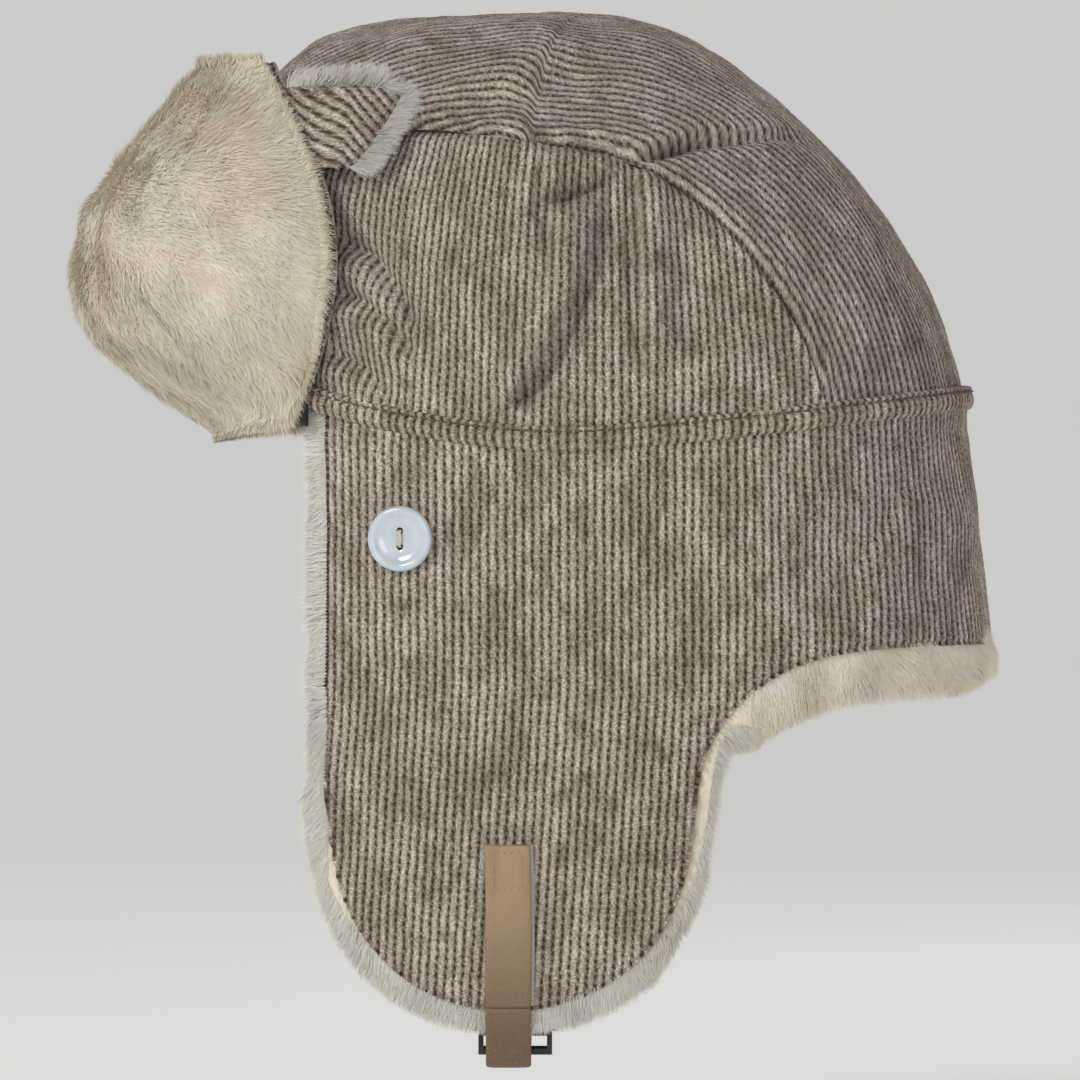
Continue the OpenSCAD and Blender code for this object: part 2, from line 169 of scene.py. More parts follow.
def flap_edge(y, past, foot):
    """Height of an ear flap's edge at y, or a high value outside the flap."""
    s = np.linspace(0, 1, 400)
    half = FLAP_HALF * lobe(s)
    rear = FLAP_Y + half + past + 20 * np.maximum(0, 1 - s / 0.4) ** 2.6
    front = FLAP_Y - half - past - 0.5
    z = FOLD_Z + (foot - FOLD_Z) * s
    y = np.maximum(y, front[0] + 0.3)
    at_rear = np.interp(y, rear[::-1], z[::-1], right=1e3)
    at_front = np.interp(y, front, z)
    return np.where(y < FLAP_Y, at_front, at_rear)


def cloth_hem(y):
    nape = -70.3 - 14.7 * np.exp(np.clip(52.7 - y, -90, 0) / 18)
    flap = flap_edge(y, 0, FOOT_Z)
    return np.where(flap < 500, np.minimum(flap, FOLD_Z + 0.1), nape)


def fur_hem(y):
    nape = -83.5 - 19 * np.exp(np.clip(50 - y, -90, 0) / 20) + 7 * smooth(118, 136, y)
    flap = flap_edge(y, 4.5, FOOT_Z - 3.2)
    return np.where(flap < 500, np.minimum(flap, nape), nape)


def visor_point(u, v, off):
    """Point of the visor across u, from -1 to 1, and up v, from 0 to 1, standing off the crown."""
    spread = VISOR_END + 10 * np.sin(np.pi * np.clip(v, 0, 1) ** 0.9) - 4 * v ** 3
    a = np.radians(-90 + spread * u)
    base = -2.6 + 9 * u * u
    r = reach(a) + off
    z = base + (VISOR_HEIGHT - 9 * u * u) * v
    return np.stack([r * np.cos(a), r * np.sin(a), z], -1)


def puff(u, v):
    bump = np.sin(np.pi * np.clip(v, 0, 1) ** 0.82)
    power = np.where(v < 0.43, 1.5, 1)
    return VISOR_PUFF * (1 - 0.68 * np.abs(u) ** 2.5) * np.maximum(bump, 0) ** power


def visor_gap(v, layers=0.0):
    """How far the visor's layers stand off the crown; they close up towards the seam at the foot."""
    gap = WELT_PROUD + 1.2 + 4 * np.sin(np.pi * np.clip(v, 0, 1))
    return (gap + layers) * (0.4 + 0.6 * smooth(0, 0.3, v))


# ---- Small tools ----


def unit(v):
    return v / np.maximum(np.linalg.norm(v, axis=-1, keepdims=True), 1e-9)


def ripple(p, size, seed, parts=7):
    """Smooth random waves, about size mm long, from -1 to 1."""
    rng = np.random.default_rng(seed)
    total = np.zeros(p.shape[:-1])
    for _ in range(parts):
        turn = unit(rng.normal(size=3)) * 2 * np.pi / size * rng.uniform(0.6, 1.5)
        total += np.sin(p @ turn + rng.uniform(0, 6.3))
    return total / parts ** 0.5 / 1.5


def grid_normals(points):
    return unit(np.cross(np.gradient(points, axis=1), np.gradient(points, axis=0)))


def lengths(points, axis):
    """Distance along a grid from its first row or column."""
    steps = np.linalg.norm(np.diff(points, axis=axis), axis=-1)
    first = np.zeros_like(np.take(steps, [0], axis=axis))
    return np.concatenate([first, np.cumsum(steps, axis=axis)], axis=axis)


def from_line(y, z, line):
    """Signed distance of each point from a line of (y, z) corners, and how far along it is."""
    best = np.full(y.shape, 1e9)
    signed = np.zeros(y.shape)
    along = np.zeros(y.shape)
    count = len(line) - 1
    for i in range(count):
        (y0, z0), (y1, z1) = line[i], line[i + 1]
        dy, dz = y1 - y0, z1 - z0
        size = dy * dy + dz * dz
        t = np.clip(((y - y0) * dy + (z - z0) * dz) / size, 0, 1)
        oy, oz = y - y0 - t * dy, z - z0 - t * dz
        d = np.hypot(oy, oz)
        near = d < best
        best = np.where(near, d, best)
        signed = np.where(near, d * np.sign(dy * oz - dz * oy), signed)
        along = np.where(near, (i + t) / count, along)
    return signed, along


def fold(y, z, line, depth, ridge, width):
    """Height of a fold along a line: a slit on it, a sag on its right and a crest on its left."""
    d, along = from_line(y, z, line)
    ends = smooth(0, 0.2, along) * (1 - smooth(0.75, 1, along))
    slit = -depth * np.exp(-(np.abs(d) / 2.1) ** 1.6)
    sag = -0.6 * depth * np.exp(-np.abs(d) / (1.3 * width)) * smooth(0.8, -0.8, d)
    crest = 1.3 * ridge * np.exp(-((d - 1.1 * width) / width) ** 2)
    return ends * (slit + sag + crest)


def rib_height(u, v, depth=0.8):
    across = np.abs(np.sin(np.pi * u / RIB))
    shift = np.floor(u / RIB) * 0.37
    tufts = 0.5 + 0.5 * np.cos(2 * np.pi * (v / TUFT + shift))
    return depth * (across ** 0.75 * (0.82 + 0.18 * tufts) - 1)


def link(obj):
    bpy.context.collection.objects.link(obj)
    return obj


def shade_smooth(mesh):
    mesh.polygons.foreach_set("use_smooth", np.full(len(mesh.polygons), True))


def build(name, points, faces, uv=None):
    """Mesh object from points in mm; uv is one pair for each point."""
    points = np.asarray(points, float).reshape(-1, 3)
    faces = np.asarray(faces)
    mesh = bpy.data.meshes.new(name)
    mesh.vertices.add(len(points))
    mesh.vertices.foreach_set("co", (points * MM).ravel())
    mesh.loops.add(faces.size)
    mesh.loops.foreach_set("vertex_index", faces.ravel())
    mesh.polygons.add(len(faces))
    mesh.polygons.foreach_set("loop_start", np.arange(len(faces)) * faces.shape[1])
    mesh.update(calc_edges=True)
    if uv is not None:
        layer = mesh.uv_layers.new(name="Weave")
        pairs = np.asarray(uv, float).reshape(-1, 2)[faces.ravel()]
        layer.data.foreach_set("uv", pairs.ravel())
    shade_smooth(mesh)
    return link(bpy.data.objects.new(name, mesh))


def grid_faces(rows, cols, ring=False, flip=False, start=0):
    r = np.arange(rows - 1)[:, None]
    c = np.arange(cols if ring else cols - 1)[None, :]
    d = (c + 1) % cols
    corners = [r * cols + c, r * cols + d, (r + 1) * cols + d, (r + 1) * cols + c]
    quads = np.stack([np.broadcast_to(k, (rows - 1, c.shape[1])) for k in corners], -1)
    quads = quads.reshape(-1, 4) + start
    return quads[:, ::-1] if flip else quads


def mirror(points, side):
    return points * np.array([SIDES[side], 1, 1])


def surface(name, points, uv=None, ring=False, flip=False, side="left"):
    rows, cols = points.shape[:2]
    flip = flip != (side == "right")
    faces = grid_faces(rows, cols, ring, flip)
    return build(name, mirror(points, side), faces, uv)


def slab(name, outer, inner, side="left", ring=False, flip=False):
    """Closed piece between an outer and an inner grid."""
    rows, cols = outer.shape[:2]
    flip = flip != (side == "right")
    count = rows * cols
    skin = grid_faces(rows, cols, ring, flip)
    back = grid_faces(rows, cols, ring, not flip, count)
    index = np.arange(count).reshape(rows, cols)
    rims = [index[0], index[-1][::-1]]
    if not ring:
        rims += [index[:, -1], index[:, 0][::-1]]
    strips = []
    for rim in rims:
        if ring:
            rim = np.append(rim, rim[0])
        quad = np.stack([rim[1:], rim[:-1], rim[:-1] + count, rim[1:] + count], -1)
        strips.append(quad[:, ::-1] if flip else quad)
    faces = np.concatenate([skin, back] + strips)
    points = np.concatenate([outer.reshape(-1, 3), inner.reshape(-1, 3)])
    return build(name, mirror(points, side), faces)


def hem_rim(obj, thick):
    """Turned-in edge round a sheet of fabric."""
    solid = obj.modifiers.new("Hem", "SOLIDIFY")
    solid.thickness = thick * MM
    solid.offset = -1
    solid.use_rim_only = True
    apply(obj)


def apply(obj):
    depsgraph = bpy.context.evaluated_depsgraph_get()
    mesh = bpy.data.meshes.new_from_object(obj.evaluated_get(depsgraph))
    obj.modifiers.clear()
    obj.data = mesh
    return obj


def soften(obj, width):
    """Rounds an object's hard edges."""
    bevel = obj.modifiers.new("Round", "BEVEL")
    bevel.width = width * MM
    bevel.segments = 3
    bevel.limit_method = "ANGLE"
    bevel.angle_limit = np.radians(35)
    bevel.harden_normals = True
    return apply(obj)


def tube(name, path, radius, sides):
    """Round cord along a path, closed at both ends."""
    path = np.asarray(path, float)
    along = unit(np.gradient(path, axis=0))
    helper = np.array([0.31, 0.17, 0.93])
    across = unit(np.cross(along, helper))
    third = np.cross(along, across)
    turn = np.linspace(0, 2 * np.pi, sides, endpoint=False)
    ring = across[:, None] * np.cos(turn)[None, :, None] + third[:, None] * np.sin(turn)[None, :, None]
    points = path[:, None] + ring * radius
    faces = grid_faces(len(path), sides, ring=True)
    obj = build(name, points, faces)
    rework(obj.data, fill_holes, face_out)
    return obj


def rework(mesh, *steps):
    """Runs bmesh steps on a mesh."""
    work = bmesh.new()
    work.from_mesh(mesh)
    for step in steps:
        step(work)
    work.to_mesh(mesh)
    work.free()


def face_out(work):
    bmesh.ops.recalc_face_normals(work, faces=work.faces)


def fill_holes(work):
    bmesh.ops.holes_fill(work, edges=[e for e in work.edges if e.is_boundary], sides=64)


def merge_points(gap):
    return lambda work: bmesh.ops.remove_doubles(work, verts=work.verts, dist=gap * MM)


def merge_flat_faces(work):
    bmesh.ops.dissolve_limit(work, angle_limit=0.02, verts=work.verts, edges=work.edges)


def join(name, objects):
    work = bmesh.new()
    for obj in objects:
        work.from_mesh(obj.data)
        bpy.data.objects.remove(obj)
    mesh = bpy.data.meshes.new(name)
    work.to_mesh(mesh)
    work.free()
    return link(bpy.data.objects.new(name, mesh))


# ---- Fur, as strands ----


def scatter(points, count, rng, weight=None):
    """Random places on a grid surface, spread by area."""
    rows, cols = points.shape[:2]
    a, b = points[:-1, :-1], points[:-1, 1:]
    c, d = points[1:, :-1], points[1:, 1:]
    area = np.linalg.norm(np.cross(b - a, c - a), axis=-1)
    if weight is not None:
        area = area * weight[:-1, :-1]
    chance = area.ravel() / area.sum()
    cell = rng.choice(area.size, size=count, p=chance)
    i, j = np.divmod(cell, cols - 1)
    s, t = rng.random((2, count, 1))
    place = (a[i, j] * (1 - t) + b[i, j] * t) * (1 - s) + (c[i, j] * (1 - t) + d[i, j] * t) * s
    normals = grid_normals(points)
    down = unit(c[i, j] - a[i, j])
    across = unit(b[i, j] - a[i, j])
    return {
        "place": place,
        "normal": normals[i, j],
        "down": down,
        "across": across,
        "row": (i + s[:, 0]) / (rows - 1),
        "col": (j + t[:, 0]) / (cols - 1),
    }


def clumped(roots, tips, size, strength, rng):
    """Pulls neighbouring tips together into tufts about size mm wide."""
    shift = rng.uniform(0, size, 3)
    cell = np.floor((roots + shift + rng.normal(0, size * 0.22, roots.shape)) / size)
    _, tuft = np.unique(cell, axis=0, return_inverse=True)
    tuft = tuft.ravel()
    count = np.bincount(tuft)
    middle = np.stack([np.bincount(tuft, tips[:, k]) / count for k in range(3)], -1)
    share = strength * rng.uniform(0.5, 1, len(roots))[:, None]
    return tips + (middle[tuft] - tips) * share


def strands(name, spots, flow, length, rng, lift=0.6, width=0.34, tufts=(5, 0.5), side="left",
            segments=4, tones=3, loose=0.1, spread=0.2):
    """Soft fur: one tapered ribbon for each spot, leaving along the normal and laid along flow."""
    roots, normal = spots["place"], spots["normal"]
    count = len(roots)
    long = length * rng.uniform(0.92 - spread, 0.92 + spread, count)
    long = long[:, None]
    wander = np.stack([ripple(roots, 22, k, 5) for k in (3, 5, 8)], -1)
    flow = unit(unit(flow) + 0.35 * wander + rng.normal(0, loose, roots.shape))
    tips = roots + long * (normal * lift * 0.62 + flow * 0.85)
    for k in range(len(tufts) // 2):
        tips = clumped(roots, tips, tufts[2 * k], tufts[2 * k + 1], rng)
    knee = roots + long * (normal * lift * 0.62 + flow * 0.22)
    s = np.linspace(0, 1, segments + 1)[None, :, None]
    path = (1 - s) ** 2 * roots[:, None] + 2 * s * (1 - s) * knee[:, None] + s ** 2 * tips[:, None]
    along = unit(np.gradient(path, axis=1))
    facing = unit(normal + rng.normal(0, 0.3, roots.shape))[:, None]
    across = unit(np.cross(along, facing))
    taper = width / 2 * (1 - 0.82 * s ** 2.2) * rng.uniform(0.75, 1.25, (count, 1, 1))
    points = np.stack([path - across * taper, path + across * taper], 2)
    index = np.arange(count * (segments + 1) * 2).reshape(count, segments + 1, 2)
    quads = np.stack([index[:, :-1, 0], index[:, :-1, 1], index[:, 1:, 1], index[:, 1:, 0]], -1)
    faces = quads.reshape(-1, 4)
    if side == "right":
        faces = faces[:, ::-1]
    obj = build(name, mirror(points, side), faces)
    tone = np.repeat(rng.integers(0, tones, count), segments)
    obj.data.polygons.foreach_set("material_index", tone.astype(np.int32))
    soft = unit(normal[:, None, None] + 0.22 * along[:, :, None] + np.zeros(points.shape))
    soft = mirror(soft, side).reshape(-1, 3)
    obj.data.normals_split_custom_set_from_vertices(soft.astype(np.float32))
    return obj


# ---- Materials ----


def tone(red, green, blue):
    """Linear colour from 0 to 255 display values."""
    c = np.array([red, green, blue]) / 255
    c = np.where(c <= 0.04045, c / 12.92, ((c + 0.055) / 1.055) ** 2.4)
    return (*c.tolist(), 1)


class Graph:
    """A material under construction."""

    def __init__(self, name):
        self.material = bpy.data.materials.new(name)
        self.material.use_nodes = True
        self.tree = self.material.node_tree
        self.shader = self.tree.nodes["Principled BSDF"]

    def put(self, value, socket):
        if isinstance(value, bpy.types.NodeSocket):
            self.tree.links.new(value, socket)
        else:
            socket.default_value = value

    def set(self, **values):
        for key, value in values.items():
            self.put(value, self.shader.inputs[key.replace("_", " ")])
        return self.material

    def math(self, operation, a, b=0.0, c=0.0):
        node = self.tree.nodes.new("ShaderNodeMath")
        node.operation = operation
        for value, socket in zip((a, b, c), node.inputs):
            self.put(value, socket)
        return node.outputs[0]

    def ramp(self, value, low, high, start=0.0, end=1.0):
        node = self.tree.nodes.new("ShaderNodeMapRange")
        node.interpolation_type = "SMOOTHSTEP"
        for socket, x in zip(node.inputs, (value, low, high, start, end)):
            self.put(x, socket)
        return node.outputs[0]

    def mix(self, share, a, b, blend="MIX"):
        node = self.tree.nodes.new("ShaderNodeMix")
        node.data_type = "RGBA"
        node.blend_type = blend
        self.put(share, node.inputs[0])
        self.put(a, node.inputs[6])
        self.put(b, node.inputs[7])
        return node.outputs[2]

    def uv(self):
        node = self.tree.nodes.new("ShaderNodeUVMap")
        node.uv_map = "Weave"
        return node.outputs[0]

    def place(self):
        return self.tree.nodes.new("ShaderNodeTexCoord").outputs["Object"]

    def stretched(self, vector, x, y, z):
        node = self.tree.nodes.new("ShaderNodeVectorMath")
        node.operation = "MULTIPLY"
        self.put(vector, node.inputs[0])
        node.inputs[1].default_value = (x, y, z)
        return node.outputs[0]

    def split(self, vector):
        node = self.tree.nodes.new("ShaderNodeSeparateXYZ")
        self.put(vector, node.inputs[0])
        return node.outputs

    def noise(self, vector, scale, detail=2.0, rough=0.55):
        node = self.tree.nodes.new("ShaderNodeTexNoise")
        self.put(vector, node.inputs["Vector"])
        node.inputs["Scale"].default_value = scale
        node.inputs["Detail"].default_value = detail
        node.inputs["Roughness"].default_value = rough
        return node.outputs[0]

    def chance(self, value):
        node = self.tree.nodes.new("ShaderNodeTexWhiteNoise")
        node.noise_dimensions = "1D"
        self.put(value, node.inputs["W"])
        return node.outputs[0]

    def bump(self, height, distance, strength=1.0):
        node = self.tree.nodes.new("ShaderNodeBump")
        node.inputs["Strength"].default_value = strength
        node.inputs["Distance"].default_value = distance * MM
        self.put(height, node.inputs["Height"])
        return node.outputs[0]


def to_nearest(graph, value):
    """Distance of a value from the nearest whole number."""
    whole = graph.math("ROUND", value)
    return graph.math("ABSOLUTE", graph.math("SUBTRACT", value, whole)), whole


def corduroy(name, light, middle, dark):
    """Chenille corduroy: tufted ribs, frayed stitch gaps in the grooves, speckled brushed fibres; rib crests
    get a painted highlight, and the grooves and the gaps are painted darker as shade.
    """
    g = Graph(name)
    uv = g.uv()
    u, v, _ = g.split(uv)
    u = g.math("ADD", u, g.math("MULTIPLY", g.math("SUBTRACT", g.noise(uv, 0.2), 0.5), 1.3))
    off, rib = to_nearest(g, g.math("DIVIDE", u, RIB))
    across = g.math("MULTIPLY", off, RIB)
    slant = g.math("DIVIDE", u, 1.6 * RIB)
    phase = g.math("ADD", g.math("DIVIDE", v, TUFT), g.math("ADD", g.chance(rib), slant))
    tuft, _ = to_nearest(g, phase)
    along = g.math("MULTIPLY", tuft, TUFT)
    speck = g.math("ADD", g.math("MULTIPLY", g.noise(uv, 1.25, 2.0, 0.7), 0.55),
                   g.math("MULTIPLY", g.noise(g.stretched(uv, 1, 1, 5), 2.6, 2.0, 0.7), 0.45))
    fray = g.noise(uv, 1.1, 3.0, 0.7)
    loose = g.math("MULTIPLY", g.math("SUBTRACT", fray, 0.5), 1.7)
    wide = g.math("POWER", g.math("DIVIDE", across, 0.58), 2.0)
    tall = g.math("POWER", g.math("DIVIDE", along, 1.0), 2.0)
    gap = g.ramp(g.math("ADD", g.math("SQRT", g.math("ADD", wide, tall)), loose), 1.3, 0.25)
    groove = g.ramp(g.math("ADD", across, g.math("MULTIPLY", loose, 0.3)), 0.95, 0.0)
    crest = g.ramp(across, 0.4, 1.35)
    patch = g.noise(g.stretched(uv, 1, 0.55, 1), 0.07, 4.0, 0.6)
    streak = g.noise(g.stretched(uv, 0.5, 0.16, 1), 1.0, 3.0, 0.6)
    level = g.math("MULTIPLY", g.ramp(speck, 0.38, 0.62), 0.6)
    level = g.math("ADD", level, g.math("MULTIPLY", g.ramp(streak, 0.32, 0.7), 0.24))
    level = g.math("ADD", level, g.math("MULTIPLY", g.ramp(patch, 0.34, 0.66), 0.26))
    # Rib crests are painted lighter: a painted highlight.
    level = g.math("ADD", level, g.math("MULTIPLY", crest, 0.2))
    # Grooves are painted darker: painted shade in the recess.
    level = g.math("SUBTRACT", level, g.math("MULTIPLY", groove, 0.24))
    colour = g.mix(g.ramp(level, 0.12, 0.62), dark, middle)
    colour = g.mix(g.ramp(level, 0.6, 1.1), colour, light)
    warm = g.math("MULTIPLY", g.ramp(g.noise(uv, 0.11, 3.0), 0.52, 0.72), 0.4)
    colour = g.mix(warm, colour, tone(150, 122, 96), "MULTIPLY")
    # The gaps between tufts are painted near black: painted shade in these holes.
    colour = g.mix(g.math("MULTIPLY", gap, 0.82), colour, tone(46, 36, 28))
    knots = g.ramp(along, 0.1, 1.4)
    height = g.math("MULTIPLY", g.math("MULTIPLY", knots, crest), 0.5)
    height = g.math("ADD", height, g.math("MULTIPLY", speck, 1.8))
    height = g.math("SUBTRACT", height, g.math("MULTIPLY", gap, 0.9))
    return g.set(Base_Color=colour, Roughness=0.95, Normal=g.bump(height, 0.75, 1.0), Sheen_Weight=0.3,
                 Sheen_Roughness=0.45, Sheen_Tint=tone(225, 210, 192), Specular_IOR_Level=0.12)


def fur_skin(name, light, dark, size=160):
    """The dense pile under the strands."""
    g = Graph(name)
    place = g.place()
    streak = g.noise(g.stretched(place, 1, 1, 0.35), size, 4.0, 0.65)
    patch = g.noise(place, 28, 3.0)
    level = g.math("ADD", g.math("MULTIPLY", streak, 0.65), g.math("MULTIPLY", patch, 0.4))
    colour = g.mix(g.ramp(level, 0.35, 0.72), dark, light)
    height = g.math("ADD", streak, g.math("MULTIPLY", g.noise(place, 900, 2.0), 0.5))
    return g.set(Base_Color=colour, Roughness=0.95, Normal=g.bump(height, 1.6, 0.8), Sheen_Weight=0.4,
                 Sheen_Roughness=0.5, Specular_IOR_Level=0.1)


def fur_tones(name, *colours):
    """One material for each tone of hair, with slow cloudy variation along the coat."""
    made = []
    for i, colour in enumerate(colours):
        g = Graph(f"{name}_{i + 1}")
        cloud = g.ramp(g.noise(g.place(), 34, 3.0), 0.4, 0.75)
        warm = g.mix(g.math("MULTIPLY", cloud, 0.35), colour, tone(226, 208, 178), "MULTIPLY")
        made.append(g.set(Base_Color=warm, Roughness=0.85, Sheen_Weight=0.3, Sheen_Roughness=0.5,
                          Specular_IOR_Level=0.12))
    return made


def leather_material():
    g = Graph("leather_tan")
    place = g.place()
    u, v, w = g.split(place)
    # The strap is painted darker towards its lower end, where it curves away from the light: painted shade.
    lower = g.ramp(w, -0.142, -0.212)
    grain = g.noise(place, 1400, 3.0)
    cloud = g.noise(g.stretched(place, 1, 1, 0.3), 110, 3.0)
    colour = g.mix(lower, tone(168, 140, 111), tone(104, 82, 58))
    colour = g.mix(g.math("MULTIPLY", g.ramp(cloud, 0.35, 0.75), 0.3), colour, tone(120, 98, 74))
    colour = g.mix(g.math("MULTIPLY", g.ramp(grain, 0.55, 0.75), 0.18), colour, tone(214, 192, 166))
    rough = g.math("ADD", 0.44, g.math("MULTIPLY", cloud, 0.2))
    return g.set(Base_Color=colour, Roughness=rough, Normal=g.bump(grain, 0.08, 0.6), Coat_Weight=0.08,
                 Coat_Roughness=0.4)


def woven(name, light, dark, pitch, roughness=0.85):
    """Plain weave or felt, with threads pitch mm apart."""
    g = Graph(name)
    place = g.place()
    x, y, z = g.split(place)
    turns = 2 * np.pi / (pitch * MM)
    warp = g.math("SINE", g.math("MULTIPLY", g.math("ADD", y, x), turns))
    weft = g.math("SINE", g.math("MULTIPLY", z, turns))
    weave = g.math("MULTIPLY", warp, weft)
    fibre = g.noise(place, 1500, 3.0)
    level = g.math("ADD", g.math("MULTIPLY", weave, 0.25), fibre)
    colour = g.mix(g.ramp(level, 0.3, 0.85), dark, light)
    return g.set(Base_Color=colour, Roughness=roughness, Normal=g.bump(level, 0.25, 0.7), Sheen_Weight=0.2)


def twisted(name, light, dark):
    """Thread with a visible twist."""
    g = Graph(name)
    place = g.place()
    x, y, z = g.split(place)
    slope = g.math("ADD", g.math("MULTIPLY", z, 9000.0), g.math("MULTIPLY", y, 6000.0))
    ply = g.math("SINE", slope)
    fuzz = g.noise(place, 2500, 2.0)
    level = g.math("ADD", g.math("MULTIPLY", ply, 0.3), fuzz)
    colour = g.mix(g.ramp(level, 0.2, 0.85), dark, light)
    return g.set(Base_Color=colour, Roughness=0.75, Normal=g.bump(level, 0.12, 0.7))


def moulded_plastic():
    g = Graph("black_plastic")
    place = g.place()
    spark = g.noise(place, 2600, 2.0)
    wear = g.noise(place, 220, 4.0)
    colour = g.mix(g.ramp(wear, 0.5, 0.8), tone(24, 24, 26), tone(52, 52, 55))
    rough = g.ramp(wear, 0.3, 0.8, 0.38, 0.55)
    return g.set(Base_Color=colour, Roughness=rough, Normal=g.bump(spark, 0.05, 0.4))


def button_material():
    g = Graph("button_white")
    place = g.place()
    cloud = g.noise(place, 160, 3.0)
    speck = g.noise(place, 1800, 2.0)
    colour = g.mix(g.ramp(cloud, 0.35, 0.7), tone(192, 203, 209), tone(202, 212, 218))
    colour = g.mix(g.math("MULTIPLY", g.ramp(speck, 0.68, 0.78), 0.25), colour, tone(190, 198, 202))
    rough = g.ramp(cloud, 0.3, 0.7, 0.1, 0.2)
    return g.set(Base_Color=colour, Roughness=rough, Normal=g.bump(cloud, 0.05, 0.3), Coat_Weight=0.5,
                 Coat_Roughness=0.06)


CORDUROY = corduroy("corduroy", tone(242, 234, 222), tone(178, 164, 148), tone(108, 94, 80))
WELT = corduroy("welt_corduroy", tone(236, 226, 212), tone(170, 156, 139), tone(102, 88, 74))
FUR_SKIN = fur_skin("fur_skin", tone(244, 235, 216), tone(222, 210, 186))
LINING_SKIN = fur_skin("lining_skin", tone(224, 218, 206), tone(192, 184, 170), 240)
FUR = fur_tones("fur", tone(245, 236, 216), tone(239, 228, 205), tone(250, 243, 228))
LIP_FUR = fur_tones("lip_fur", tone(250, 242, 226), tone(246, 237, 219), tone(253, 248, 236))
WHITE_FUR = fur_tones("white_fur", tone(232, 231, 221), tone(226, 223, 210), tone(238, 237, 230))
LEATHER = leather_material()
BACKING = woven("strap_backing", tone(196, 192, 186), tone(164, 160, 153), 0.5)
FELT = woven("felt", tone(206, 204, 200), tone(176, 174, 168), 0.9)
TAPE = woven("black_tape", tone(34, 34, 37), tone(10, 10, 11), 0.7)
BROWN = twisted("thread_brown", tone(126, 110, 90), tone(74, 62, 48))
IVORY = twisted("thread_ivory", tone(226, 220, 200), tone(176, 166, 140))
TAN = twisted("thread_tan", tone(206, 182, 148), tone(142, 116, 84))
PLASTIC = moulded_plastic()
BUTTON = button_material()


def finish(obj, materials, body, nodes=(), blend=None):
    """Gives a piece its material and hides the CAD nodes it stands for; parents it to its body, or, when a
    blend is given, bakes its place into its mesh instead and leaves the blend's values unused.
    """
    for material in materials if isinstance(materials, list) else [materials]:
        obj.data.materials.append(material)
    if blend is None:
        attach(obj, body)
    else:
        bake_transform(obj)
    if nodes:
        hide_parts(*nodes)
    return obj


# ---- Crown ----

# Folds of the side panel: the line each follows as (y, z), its depth, its ridge and its width
PLEAT_FRONT = ([(-32, 4), (-24, 12), (-15, 23), (-9, 37), (-2.3, 52), (2.6, 67), (4.5, 92)], 8.0, 5.5, 6.5)
PLEAT_REAR = ([(12.3, 98), (11.7, 60), (13.2, 38), (17, 16)], 7.5, 5.0, 5.5)
PUCKER = ([(-18, 92), (-19, 78), (-16, 66), (-15, 52)], 4.5, 2.6, 4.0)
BUNCH_HIGH = ([(-60, 30), (-66, 44), (-76, 57), (-88, 64)], 4.5, 3.2, 5.5)
BUNCH_MIDDLE = ([(-60, 20), (-68, 34), (-78, 42), (-90, 46)], 4.0, 2.8, 5.0)
BUNCH_LOW = ([(-68, 8), (-78, 20), (-92, 26)], 3.0, 2.2, 5.0)
SLUMP = ([(-25, 71), (-18, 75), (-6, 79), (11, 88), (30, 95)], 6.0, 4.0, 6.0)
SIDE_FOLDS = [PLEAT_FRONT, PLEAT_REAR, PUCKER, BUNCH_HIGH, BUNCH_MIDDLE, BUNCH_LOW, SLUMP]
DEEPEST_FOLD = -6.2
DRAPE = [(-24, 72), (-8, 79), (11, 88), (34, 96), (64, 98), (84, 92)]
RIDGE = [(-74, 92), (-56, 107), (-39, 118), (-12, 127), (14, 134)]


def crown_folds(points):
    """Height of the folds over the crown's side, by place."""
    height = sum(fold(points[..., 1], points[..., 2], *crease) for crease in SIDE_FOLDS)
    return np.maximum(height, DEEPEST_FOLD) * smooth(20, 45, np.abs(points[..., 0]))


def drape(points):
    """The centre panel's fabric slumps over the side in one long fold."""
    x, y, z = points[..., 0], points[..., 1], points[..., 2]
    side = smooth(18, 45, np.abs(x))
    d, along = from_line(y, z, DRAPE)
    ends = 1 - smooth(0.4, 1, along)
    groove = -6.5 * np.exp(-(np.abs(d) / 1.8) ** 1.5)
    groove -= 2.2 * np.exp(-np.abs(d) / 8) * smooth(0.8, -0.8, d)
    crest = 4.6 * smooth(-0.5, 3.0, d) * (1 - smooth(4, 26, d))
    top, run = from_line(y, z, RIDGE)
    span = smooth(0, 0.3, run) * (1 - smooth(0.6, 1, run))
    ridge = 2.6 * np.exp(-(top / 6) ** 2) - 2.4 * np.exp(-((top + 11) / 5) ** 2)
    return side * (ends * (groove + crest) + span * ridge)


def crown_side(side):
    a = np.linspace(PANEL_FRONT + 0.012, PANEL_BACK - 0.004, 310)[None, :]
    w = np.linspace(0, 1, 150)[:, None]
    low, high = seam_angle(a), panel_angle(a)
    points = crown_point(a, low + (high - low) * w ** 0.9)
    u = lengths(points[:1], 1) - 92 + np.zeros(w.shape)
    v = lengths(points, 0)
    u = u - 0.12 * v * (1 - smooth(-60, 20, u))
    normal = grid_normals(points)
    edge = (v[-1:] - v)
    gather = np.sin(u * 0.62 + 2.5 * np.sin(u * 0.11)) * np.exp(-edge / 9) * smooth(0, 4, edge)
    height = crown_folds(points) * (0.25 + 0.75 * smooth(0, 5, edge)) + 1.1 * gather
    height += 1.9 * ripple(points, 38, 11 + SIDES[side]) + 0.6 * ripple(points, 15, 21 + SIDES[side])
    height += -1.6 * np.exp(-(edge / 1.5) ** 2) + 0.9 * np.exp(-((edge - 5) / 3.5) ** 2)
    points = points + normal * (height + rib_height(u, v))[..., None]
    obj = surface(f"crown_side_cloth_{side}", points, np.stack([u, v], -1), side=side, flip=True)
    finish(obj, CORDUROY, "hat", [f"crown_side_panel_{side}"])


